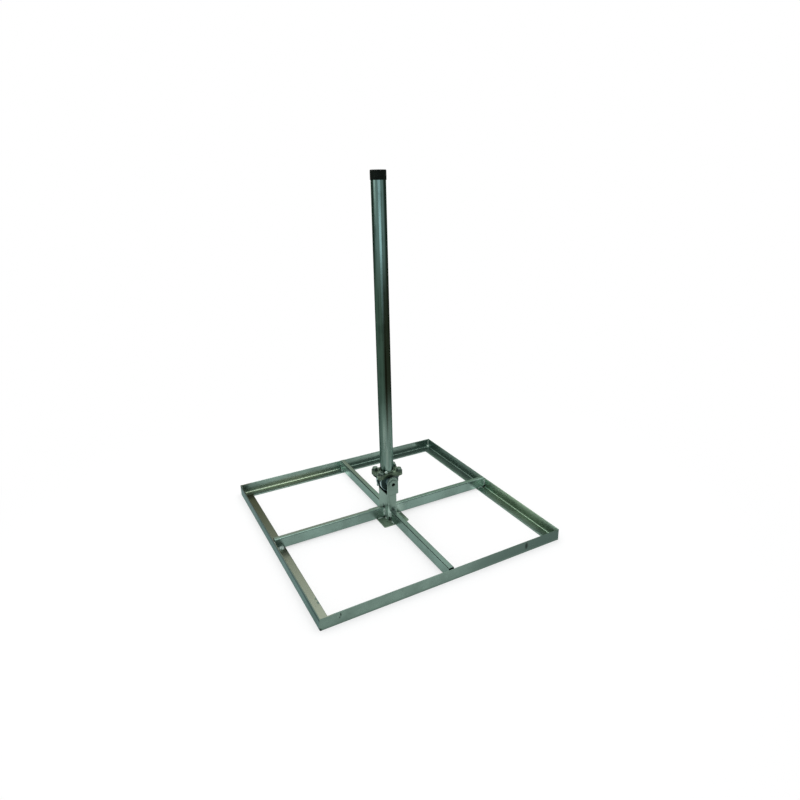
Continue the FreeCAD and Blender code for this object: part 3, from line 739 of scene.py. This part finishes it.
def cheek_finish(finishes):
    """Cheeks: rims with a painted highlight, broad faces in painted shade, and a painted highlight band
    on the left of the round foot.
    """
    finish, colour = plated("cheek_zinc", finishes.rim_highlight_light, finishes.rim_highlight_dark, CHEEK_SURFACE)
    low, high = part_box("pivot_sleeve")
    pivot = (low + high) / 2
    radius = pivot.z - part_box("cheek_front")[0].z
    # Painted highlight band on the left of the cheek's round foot
    edge_highlight = finish.combine(
        finish.ring(pivot, radius, finishes.edge_highlight_width),
        finish.spread(finish.axis("X"), radius / 2, 0.0), "MULTIPLY",
    )
    face = finish.blend(edge_highlight, finishes.cheek_face_shade, finishes.rim_highlight_dark)
    colour = finish.blend(finish.facing_across(), colour, face)
    return paint_hollow_shade(finish, colour, finishes, CHEEK_OPEN)


def weld_finish(name, light, dark, dull=None):
    """Silvery bead in patches. With a dull pair, the given pair is a painted highlight, and low and
    back beads take the dull pair, except at the left rail.
    """
    finish = Finish(name)
    patch = finish.spread(finish.noise(WELD_PATCH_SIZE, detail=3.0), *WELD_CONTRAST)
    colour = finish.blend(patch, dark, light)
    if dull is not None:
        off_left = finish.spread(finish.axis("X"), -SEAT_DISTANCE / 2, 0.0)
        low = finish.spread(finish.axis("Z"), SEAT_TOP, SEAT_TOP - SKIN)
        back = finish.spread(finish.axis("Y"), 0.0, SEAT_DISTANCE)
        share = finish.combine(off_left, finish.combine(low, back), "MULTIPLY")
        colour = finish.blend(share, colour, finish.blend(patch, *dull))
    rough = finish.spread(patch, 0.0, 1.0, WELD_SURFACE.rough, WELD_SURFACE.smooth)
    finish.metal(colour, rough, WELD_SURFACE.metallic)
    finish.bump(finish.noise(WELD_GRAIN_SIZE, detail=2.0), WELD_RELIEF)
    return finish.material


def cap_finish(finishes):
    """Matt black moulded plastic with a fine texture."""
    finish = Finish("black_cap")
    patch = finish.spread(finish.noise(CAP_PATCH_SIZE), *CAP_CONTRAST)
    colour = finish.blend(patch, finishes.cap_dark, finishes.cap_light)
    rough = finish.spread(patch, 0.0, 1.0, CAP_SURFACE.rough, CAP_SURFACE.smooth)
    finish.metal(colour, rough, CAP_SURFACE.metallic)
    finish.set(finish.shader, "Specular IOR Level", CAP_SPECULAR)
    finish.bump(finish.noise(CAP_GRAIN_SIZE, detail=2.0), CAP_RELIEF)
    return finish.material


def dress(nodes, material):
    for name in nodes:
        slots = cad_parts[name].data.materials
        slots.clear()
        slots.append(material)


def ripple_sizes(count, welds, draws):
    """Size of a bead at each station: thin ends, ripples and a little unevenness between."""
    sizes = []
    swell = 1.0
    for station in range(count + 1):
        if station % RIPPLE_STEPS == 0:
            swell = 1.0 + draws.uniform(-welds.unevenness, welds.unevenness)
        phase = math.pi * (station % RIPPLE_STEPS) / RIPPLE_STEPS
        ripple = 1.0 - welds.ripple_depth * (1.0 - math.sin(phase))
        near_end = min(station, count - station) / (TAPER_RIPPLES * RIPPLE_STEPS)
        taper = END_SIZE + (1.0 - END_SIZE) * math.sqrt(min(1.0, near_end))
        sizes.append(swell * ripple * taper)
    return sizes


def start_section(radius, quarter):
    """A bmesh with one round face, or a quarter of it with its corner at the origin."""
    mesh = bmesh.new()
    bmesh.ops.create_circle(mesh, cap_ends=True, segments=BEAD_SEGMENTS, radius=radius)
    for normal in (X_AXIS, Y_AXIS) if quarter else ():
        everything = mesh.verts[:] + mesh.edges[:] + mesh.faces[:]
        bmesh.ops.bisect_plane(
            mesh, geom=everything, dist=MERGE_DISTANCE, plane_co=(0, 0, 0), plane_no=normal,
            clear_inner=True,
        )
    mesh.faces.ensure_lookup_table()
    return mesh, mesh.faces[0]


def extend(mesh, face):
    """Extrude the end face of a bead and return the new end face."""
    grown = bmesh.ops.extrude_face_region(mesh, geom=[face])["geom"]
    return next(item for item in grown if isinstance(item, bmesh.types.BMFace))


def resize(mesh, face, factor, corner):
    bmesh.ops.scale(
        mesh, vec=(factor, factor, factor), space=Matrix.Translation(-corner), verts=face.verts
    )


def add_bead(target, start, end, radius, welds, draws, section=None):
    """A rippled bead from start to end. A section of two directions makes it a fillet."""
    start = Vector(start)
    end = Vector(end)
    run = end - start
    along = run.normalized()
    count = max(FEWEST_RIPPLES, round(run.length / welds.ripple_pitch)) * RIPPLE_STEPS
    sizes = ripple_sizes(count, welds, draws)
    mesh, face = start_section(radius, section is not None)
    resize(mesh, face, sizes[0], Vector())
    for station in range(1, count + 1):
        face = extend(mesh, face)
        bmesh.ops.translate(mesh, vec=Z_AXIS * (run.length / count), verts=face.verts)
        corner = Z_AXIS * (run.length * station / count)
        resize(mesh, face, sizes[station] / sizes[station - 1], corner)
    if section is None:
        across = along.orthogonal().normalized()
        section = (across, along.cross(across))
    else:
        start = start - (section[0] + section[1]) * welds.sink
    turn = Matrix((section[0], section[1], along)).transposed().to_4x4()
    mesh.transform(Matrix.Translation(start) @ turn)
    merge_into(target, mesh)


def add_ring_bead(target, radius, level, leg, welds, draws):
    """A rippled fillet round an upright tube, closed on itself."""
    count = round(math.tau * radius / welds.ripple_pitch) * RIPPLE_STEPS
    # The middle one of three laps has no tapered ends
    sizes = ripple_sizes(count * 3, welds, draws)[count:2 * count]
    mesh, face = start_section(leg, True)
    mesh.transform(Matrix.Rotation(QUARTER_TURN, 4, "X"))
    first = face
    corner = Vector((radius, 0, level))
    bmesh.ops.translate(mesh, vec=corner, verts=mesh.verts)
    resize(mesh, face, sizes[0], corner)
    step = Matrix.Rotation(math.tau / count, 3, "Z")
    for station in range(1, count + 1):
        face = extend(mesh, face)
        bmesh.ops.rotate(mesh, cent=(0, 0, 0), matrix=step, verts=face.verts)
        corner = step @ corner
        resize(mesh, face, sizes[station % count] / sizes[station - 1], corner)
    bmesh.ops.delete(mesh, geom=[first, face], context="FACES_ONLY")
    bmesh.ops.remove_doubles(mesh, verts=mesh.verts, dist=RING_MERGE_DISTANCE)
    merge_into(target, mesh)


def add_blob(target, centre, radius, shape=Matrix()):
    """A round blob of weld metal, turned and stretched where a shape is given."""
    bmesh.ops.create_icosphere(
        target, subdivisions=BLOB_SUBDIVISIONS, radius=radius,
        matrix=Matrix.Translation(centre) @ shape,
    )


def merge_into(target, mesh):
    carrier = bpy.data.meshes.new("bead")
    mesh.to_mesh(carrier)
    mesh.free()
    target.from_mesh(carrier)
    bpy.data.meshes.remove(carrier)


def link_mesh(mesh, name, material):
    """Turn a bmesh into a named object of the scene."""
    data = bpy.data.meshes.new(name)
    mesh.to_mesh(data)
    mesh.free()
    data.materials.append(material)
    piece = bpy.data.objects.new(name, data)
    bpy.context.scene.collection.objects.link(piece)
    return piece


def finish_piece(mesh, name, body, material):
    """Turn a bmesh into a smooth piece that rides on a body."""
    bmesh.ops.recalc_face_normals(mesh, faces=mesh.faces)
    for face in mesh.faces:
        face.smooth = True
    piece = link_mesh(mesh, name, material)
    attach(piece, body)
    return piece


def weld_material(context):
    finishes = context.scene.stand_finishes
    known = bpy.data.materials.get("weld_bead")
    return known or weld_finish("weld_bead", finishes.weld_light, finishes.weld_dark)


def quarter_turns():
    return [Matrix.Rotation(QUARTER_TURN * turn, 3, "Z") for turn in range(4)]


def angle_thickness():
    """The arms lie level on the flanges and on the base plate, so both are equally thick."""
    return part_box("base_plate")[1].z


ArmSpan = namedtuple(
    "ArmSpan", "turn start end half low top post_face plate_edge foot_room seat_leg"
)


def arm_spans(welds):
    """Measures of the four arms, each taken along the arm from the stand's middle."""
    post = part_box("post")[1]
    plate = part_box("base_plate")[1]
    lengthways = ("arm_right", "x", "y", welds.notch_room)
    crossways = ("arm_back", "y", "x", welds.drain_room)
    kinds = (lengthways, crossways, lengthways, crossways)
    spans = []
    for turn, share, (name, along, across, foot_room) in zip(quarter_turns(), SEAT_SHARES, kinds):
        low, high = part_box(name)
        spans.append(ArmSpan(
            turn=turn,
            start=getattr(low, along),
            end=getattr(high, along),
            half=(getattr(high, across) - getattr(low, across)) / 2,
            low=low.z,
            top=high.z,
            post_face=getattr(post, along),
            plate_edge=getattr(plate, along),
            foot_room=foot_room,
            seat_leg=welds.seat_leg * share,
        ))
    return spans


def add_rail_beads(target, span, side, welds, draws):
    """On one side of an arm: the upright bead at the rail and the bead along the rail's flange."""
    rail_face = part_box("rail_right")[1].x - angle_thickness()
    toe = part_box("rail_back")[0].y
    rail_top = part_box("rail_back")[1].z
    butt = (span.end + rail_face) / 2
    across = side * (span.half - welds.butt_radius * BUTT_SINK)
    foot = span.turn @ Vector((butt, across, span.low + welds.notch_room))
    head = span.turn @ Vector((butt, across, rail_top - welds.butt_radius))
    add_bead(target, foot, head, welds.butt_radius, welds, draws)
    first = span.turn @ Vector((span.end - welds.notch_room, side * span.half, span.low))
    last = span.turn @ Vector((toe + span.seat_leg / 2, side * span.half, span.low))
    section = (span.turn @ (Y_AXIS * side), Z_AXIS)
    add_bead(target, first, last, span.seat_leg, welds, draws, section)


def add_post_beads(target, span, side, welds, draws):
    """On one side of an arm: the upright bead at the post and the bead along the base plate."""
    gap = (span.start + span.post_face) / 2
    across = side * (span.half - welds.post_radius * POST_SINK)
    foot = span.turn @ Vector((gap, across, span.low + span.foot_room))
    head = span.turn @ Vector((gap, across, span.top - welds.post_radius / 2))
    add_bead(target, foot, head, welds.post_radius, welds, draws)
    first = span.turn @ Vector((span.start + welds.notch_room, side * span.half, span.low))
    last = span.turn @ Vector((span.plate_edge - welds.plate_leg, side * span.half, span.low))
    section = (span.turn @ (Y_AXIS * side), Z_AXIS)
    add_bead(target, first, last, welds.plate_leg, welds, draws, section)


class STAND_OT_dress_frame(bpy.types.Operator):
    """Give the rails their zinc finish"""

    bl_idname = "stand.dress_frame"
    bl_label = "Frame rails"

    def execute(self, context):
        dress(RAILS, rail_finish(context.scene.stand_finishes))
        return {"FINISHED"}


class STAND_OT_dress_cross(bpy.types.Operator):
    """Give the arms, the post with its ears and pivot, and the base plate their zinc finish"""

    bl_idname = "stand.dress_cross"
    bl_label = "Arms and post"

    def execute(self, context):
        finishes = context.scene.stand_finishes
        dress(ARMS, arm_finish(finishes))
        dress(POST_PIECES, post_finish(finishes))
        dress(("base_plate",), plate_finish(finishes))
        return {"FINISHED"}


class STAND_OT_dress_head(bpy.types.Operator):
    """Give the flanges, spacers, cheeks and fasteners their zinc finish"""

    bl_idname = "stand.dress_head"
    bl_label = "Tilting head"

    def execute(self, context):
        finishes = context.scene.stand_finishes
        dress(FLANGES, flange_finish(finishes))
        dress(SPACERS, plated_finish(
            "bright_zinc", finishes.zinc_light, finishes.zinc_dark, finishes, SPACER_SURFACE
        ))
        dress(CHEEKS, cheek_finish(finishes))
        dress(FASTENERS, plated_finish(
            "bolt_zinc", finishes.bolt_light, finishes.bolt_dark, finishes, BOLT_SURFACE
        ))
        return {"FINISHED"}


class STAND_OT_dress_mast(bpy.types.Operator):
    """Give the mast its drawn finish and the cap its black plastic"""

    bl_idname = "stand.dress_mast"
    bl_label = "Mast and cap"

    def execute(self, context):
        finishes = context.scene.stand_finishes
        dress(("mast_tube",), mast_finish(finishes))
        dress(("mast_cap",), cap_finish(finishes))
        return {"FINISHED"}


class STAND_OT_corner_welds(bpy.types.Operator):
    """Upright beads in the frame's four inner corners, with a blob at their foot"""

    bl_idname = "stand.corner_welds"
    bl_label = "Corner welds"

    def execute(self, context):
        welds = context.scene.stand_welds
        draws = random.Random(CORNER_SEED)
        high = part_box("rail_front")[1]
        thickness = angle_thickness()
        inner = high.x - thickness
        rise = welds.root_radius / 2
        mesh = bmesh.new()
        for turn in quarter_turns():
            foot = turn @ Vector((inner, inner, thickness + welds.seam_radius))
            head = turn @ Vector((inner, inner, high.z - thickness))
            section = (turn @ -X_AXIS, turn @ -Y_AXIS)
            add_bead(mesh, foot, head, welds.seam_radius, welds, draws, section)
            root = Vector((inner - rise, inner - rise, thickness + rise))
            add_blob(mesh, turn @ root, welds.root_radius)
        finish_piece(mesh, "corner_welds", "base", weld_material(context))
        return {"FINISHED"}


class STAND_OT_arm_welds(bpy.types.Operator):
    """Beads where the arms meet the rails, the post and the base plate"""

    bl_idname = "stand.arm_welds"
    bl_label = "Arm welds"

    def execute(self, context):
        welds = context.scene.stand_welds
        draws = random.Random(ARM_SEED)
        outer = bmesh.new()
        inner = bmesh.new()
        for span in arm_spans(welds):
            for side in (-1, 1):
                add_rail_beads(outer, span, side, welds, draws)
                add_post_beads(inner, span, side, welds, draws)
        finishes = context.scene.stand_finishes
        # The seat beads' bright pair is a painted highlight, which low and back beads do without
        dull = (finishes.arm_light, finishes.arm_pale)
        bright = weld_finish("seat_bead", finishes.seat_highlight_light, finishes.seat_highlight_dark, dull)
        finish_piece(outer, "arm_rail_welds", "base", bright)
        finish_piece(inner, "arm_post_welds", "base", weld_material(context))
        return {"FINISHED"}


class STAND_OT_post_welds(bpy.types.Operator):
    """Beads at the post's foot and behind its ears"""

    bl_idname = "stand.post_welds"
    bl_label = "Post welds"

    def execute(self, context):
        welds = context.scene.stand_welds
        draws = random.Random(POST_SEED)
        low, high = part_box("post")
        arm_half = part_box("arm_right")[1].y
        ear_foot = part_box("ear_front")[0].z
        mesh = bmesh.new()
        for side_x in (-1, 1):
            for side_y in (-1, 1):
                wall = side_x * high.x
                near = side_y * (arm_half + welds.fillet_leg / 2)
                far = side_y * (high.y - welds.drain_room)
                section = (X_AXIS * side_x, Z_AXIS)
                add_bead(
                    mesh, (wall, near, low.z), (wall, far, low.z), welds.fillet_leg,
                    welds, draws, section,
                )
                section = (X_AXIS * side_x, Y_AXIS * -side_y)
                foot = (wall, side_y * high.y, ear_foot)
                head = (wall, side_y * high.y, high.z)
                add_bead(mesh, foot, head, welds.ear_leg, welds, draws, section)
        finish_piece(mesh, "post_welds", "base", weld_material(context))
        return {"FINISHED"}


class STAND_OT_head_welds(bpy.types.Operator):
    """Beads under the head plate and round the mast's foot, and a weld drop"""

    bl_idname = "stand.head_welds"
    bl_label = "Head welds"

    def execute(self, context):
        welds = context.scene.stand_welds
        draws = random.Random(HEAD_SEED)
        material = weld_material(context)
        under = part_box("head_plate")[0].z
        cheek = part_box("cheek_back")[1]
        reach = cheek.x * CHEEK_SHARE
        mesh = bmesh.new()
        for side in (-1, 1):
            face = side * cheek.y
            section = (Y_AXIS * side, -Z_AXIS)
            add_bead(
                mesh, (-reach, face, under), (reach, face, under), welds.cheek_leg,
                welds, draws, section,
            )
        finish_piece(mesh, "cheek_welds", "mast", material)

        mesh = bmesh.new()
        mast_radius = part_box("mast_tube")[1].x
        low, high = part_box("mast_weld")
        add_ring_bead(mesh, mast_radius, low.z, high.z - low.z, welds, draws)
        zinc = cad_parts["mast_flange"].data.materials[0]
        ring = finish_piece(mesh, "mast_weld_bead", "mast", zinc)
        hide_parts("mast_weld")

        mesh = bmesh.new()
        heading = Vector(DROP_SIDE).normalized()
        outwards = heading * (mast_radius + welds.drop_radius * DROP_REACH)
        centre = outwards + Z_AXIS * (low.z + welds.drop_radius / 2)
        turn = Matrix.Rotation(math.atan2(heading.y, heading.x), 4, "Z")
        add_blob(mesh, centre, welds.drop_radius, turn @ Matrix.Diagonal(DROP_SHAPE).to_4x4())
        finish_piece(mesh, "mast_weld_drop", "mast", material)
        return {"FINISHED"}


def seen_rays(tree):
    """1 for rays that show the background: camera, glossy and transmission rays."""
    path = tree.nodes.new("ShaderNodeLightPath")
    seen = path.outputs["Is Camera Ray"]
    for name in ("Is Glossy Ray", "Is Transmission Ray"):
        larger = tree.nodes.new("ShaderNodeMath")
        larger.operation = "MAXIMUM"
        tree.links.new(seen, larger.inputs[0])
        tree.links.new(path.outputs[name], larger.inputs[1])
        seen = larger.outputs["Value"]
    return seen


def mix_shaders(tree, share, first, second):
    mix = tree.nodes.new("ShaderNodeMixShader")
    tree.links.new(share, mix.inputs[0])
    tree.links.new(first, mix.inputs[1])
    tree.links.new(second, mix.inputs[2])
    return mix.outputs["Shader"]


def emission(finish, colour):
    node = finish.add("ShaderNodeEmission")
    finish.set(node, "Color", with_alpha(colour))
    return node.outputs["Emission"]


def floor_finish(studio):
    """Pale floor that keeps the shadow near the stand and is plain white further out."""
    finish = Finish("pale_floor")
    tree = finish.tree
    tree.nodes.remove(finish.shader)
    paper = finish.add("ShaderNodeBsdfDiffuse")
    finish.set(paper, "Color", with_alpha(studio.floor_colour))
    lifted = finish.add("ShaderNodeAddShader")
    tree.links.new(paper.outputs["BSDF"], lifted.inputs[0])
    tree.links.new(emission(finish, [studio.floor_lift] * 3), lifted.inputs[1])
    distance = finish.vector_math("LENGTH", finish.coords, output="Value")
    far = finish.spread(distance, studio.shadow_radius, studio.white_radius)
    seen = mix_shaders(tree, far, lifted.outputs["Shader"], emission(finish, WHITE))
    surface = mix_shaders(tree, seen_rays(tree), paper.outputs["BSDF"], seen)
    tree.links.new(surface, tree.nodes["Material Output"].inputs["Surface"])
    return finish.material


def drape_finish(studio):
    """Dim drape that only shows in the metal, with a pale wall above it behind the stand."""
    finish = Finish("dim_drape")
    tree = finish.tree
    tree.nodes.remove(finish.shader)
    flat = finish.stretched(GROUND_PLANE)
    heading = finish.vector_math("NORMALIZE", flat)
    dull, front, pale, panel = (
        finish.vector_math("DOT_PRODUCT", heading, side, "Value")
        for side in (DULL_SIDE, FRONT_SIDE, PALE_SIDE, PANEL_SIDE)
    )
    level = finish.axis("Z")
    low = finish.blend(
        finish.spread(dull, *DULL_TURN), studio.dim_floor_left, studio.dim_floor_right
    )
    wall = finish.blend(finish.spread(front, *NEAR_TURN), studio.drape_far, studio.drape_near)
    glow = finish.blend(finish.spread(panel, *PANEL_TURN), studio.drape_pale, studio.drape_panel)
    high = finish.blend(finish.spread(pale, *PALE_TURN), studio.drape_high, glow)
    middle = finish.spread(front, *MIDDLE_TURN, *MIDDLE_LEVELS)
    tone = finish.blend(finish.spread(level, *WALL_START), low, wall)
    rise = finish.combine(level, middle, "DIVIDE")
    tone = finish.blend(finish.spread(rise, *HIGH_START), tone, high)
    radius = finish.vector_math("LENGTH", flat, output="Value")
    outside = finish.spread(radius, studio.pool_inner, studio.pool_outer)
    top = finish.spread(pale, *TOP_TURN, studio.drape_front, studio.drape_back)
    below = finish.spread(finish.combine(level, top, "DIVIDE"), *TOP_FADE)
    clear = finish.add("ShaderNodeBsdfTransparent")
    share = finish.combine(outside, below, "MULTIPLY")
    surface = mix_shaders(tree, share, clear.outputs["BSDF"], emission(finish, tone))
    tree.links.new(surface, tree.nodes["Material Output"].inputs["Surface"])
    return finish.material


def add_floor(studio):
    mesh = bmesh.new()
    bmesh.ops.create_grid(mesh, x_segments=1, y_segments=1, size=studio.floor_half)
    bmesh.ops.translate(mesh, vec=Z_AXIS * FLOOR_LEVEL, verts=mesh.verts)
    link_mesh(mesh, "floor", floor_finish(studio))


def add_drape(studio):
    """A round drape with a foot on the floor, seen only in the metal."""
    mesh = bmesh.new()
    rim = mesh.verts.new((studio.pool_inner, 0, DRAPE_LEVEL))
    foot = mesh.verts.new((studio.drape_radius, 0, DRAPE_LEVEL))
    top = mesh.verts.new((studio.drape_radius, 0, studio.drape_front))
    mesh.edges.new((rim, foot))
    mesh.edges.new((foot, top))
    bmesh.ops.spin(
        mesh, geom=mesh.verts[:] + mesh.edges[:], cent=(0, 0, 0), axis=Z_AXIS,
        angle=math.tau, steps=DRAPE_STEPS, use_merge=True,
    )
    drape = link_mesh(mesh, "drape", drape_finish(studio))
    drape.visible_camera = False
    drape.visible_diffuse = False
    drape.visible_transmission = False
    drape.visible_shadow = False


def light_room(studio):
    world = bpy.data.worlds.new("studio_room")
    world.use_nodes = True
    tree = world.node_tree
    fill = tree.nodes["Background"]
    fill.inputs["Color"].default_value = with_alpha(WHITE)
    fill.inputs["Strength"].default_value = studio.fill_level
    white = tree.nodes.new("ShaderNodeBackground")
    white.inputs["Color"].default_value = with_alpha(WHITE)
    white.inputs["Strength"].default_value = 1.0
    surface = mix_shaders(
        tree, seen_rays(tree), fill.outputs["Background"], white.outputs["Background"]
    )
    tree.links.new(surface, tree.nodes["World Output"].inputs["Surface"])
    bpy.context.scene.world = world


def add_softbox(softbox, tint):
    """Rectangular lamp whose face has the softbox's radiance."""
    lamp = bpy.data.lights.new(softbox.name, "AREA")
    lamp.shape = "RECTANGLE"
    lamp.size = softbox.width
    lamp.size_y = softbox.height
    lamp.energy = softbox.radiance * math.pi * softbox.width * softbox.height
    lamp.color = tint
    place = Vector(softbox.place)
    box = bpy.data.objects.new(softbox.name, lamp)
    box.location = place
    box.rotation_euler = (Vector(softbox.aim) - place).to_track_quat("-Z", "Y").to_euler()
    bpy.context.scene.collection.objects.link(box)


def place_camera(studio):
    data = bpy.data.cameras.new("photo_camera")
    data.lens = studio.lens
    data.shift_x = studio.shift_x
    data.shift_y = studio.shift_y
    level = math.cos(studio.elevation)
    back = Vector((
        math.sin(studio.azimuth) * level,
        -math.cos(studio.azimuth) * level,
        math.sin(studio.elevation),
    ))
    level_right = Vector((math.cos(studio.azimuth), math.sin(studio.azimuth), 0))
    level_up = back.cross(level_right)
    right = level_right * math.cos(studio.roll) + level_up * math.sin(studio.roll)
    turn = Matrix((right, back.cross(right), back)).transposed().to_4x4()
    camera = bpy.data.objects.new("photo_camera", data)
    camera.matrix_world = Matrix.Translation(studio.camera_place) @ turn
    bpy.context.scene.collection.objects.link(camera)
    bpy.context.scene.camera = camera


class STAND_OT_studio(bpy.types.Operator):
    """Floor, drape, lamps, room light and camera"""

    bl_idname = "stand.studio"
    bl_label = "Studio"

    def execute(self, context):
        studio = context.scene.stand_studio
        context.scene.view_settings.view_transform = "Standard"
        add_floor(studio)
        add_drape(studio)
        for softbox in SOFTBOXES:
            add_softbox(softbox, studio.window_tint if softbox.cool else WHITE)
        light_room(studio)
        place_camera(studio)
        return {"FINISHED"}


STEPS = (
    STAND_OT_dress_frame,
    STAND_OT_dress_cross,
    STAND_OT_dress_head,
    STAND_OT_dress_mast,
    STAND_OT_corner_welds,
    STAND_OT_arm_welds,
    STAND_OT_post_welds,
    STAND_OT_head_welds,
    STAND_OT_studio,
)


class STAND_PT_panel(bpy.types.Panel):
    """Steps that dress the ballast stand"""

    bl_idname = "STAND_PT_panel"
    bl_label = "Ballast stand"
    bl_space_type = "VIEW_3D"
    bl_region_type = "UI"
    bl_category = "Ballast Stand"

    def draw(self, context):
        for step in STEPS:
            self.layout.operator(step.bl_idname)


GROUPS = {
    "stand_finishes": StandFinishes,
    "stand_welds": StandWelds,
    "stand_studio": StandStudio,
}


def register():
    for group in GROUPS.values():
        bpy.utils.register_class(group)
    for step in STEPS:
        bpy.utils.register_class(step)
    bpy.utils.register_class(STAND_PT_panel)
    for name, group in GROUPS.items():
        setattr(bpy.types.Scene, name, bpy.props.PointerProperty(type=group))


def unregister():
    for name in GROUPS:
        delattr(bpy.types.Scene, name)
    bpy.utils.unregister_class(STAND_PT_panel)
    for step in reversed(STEPS):
        bpy.utils.unregister_class(step)
    for group in reversed(GROUPS.values()):
        bpy.utils.unregister_class(group)


def main():
    register()
    for step in STEPS:
        group, name = step.bl_idname.split(".")
        getattr(getattr(bpy.ops, group), name)()


if __name__ == "__main__":
    main()
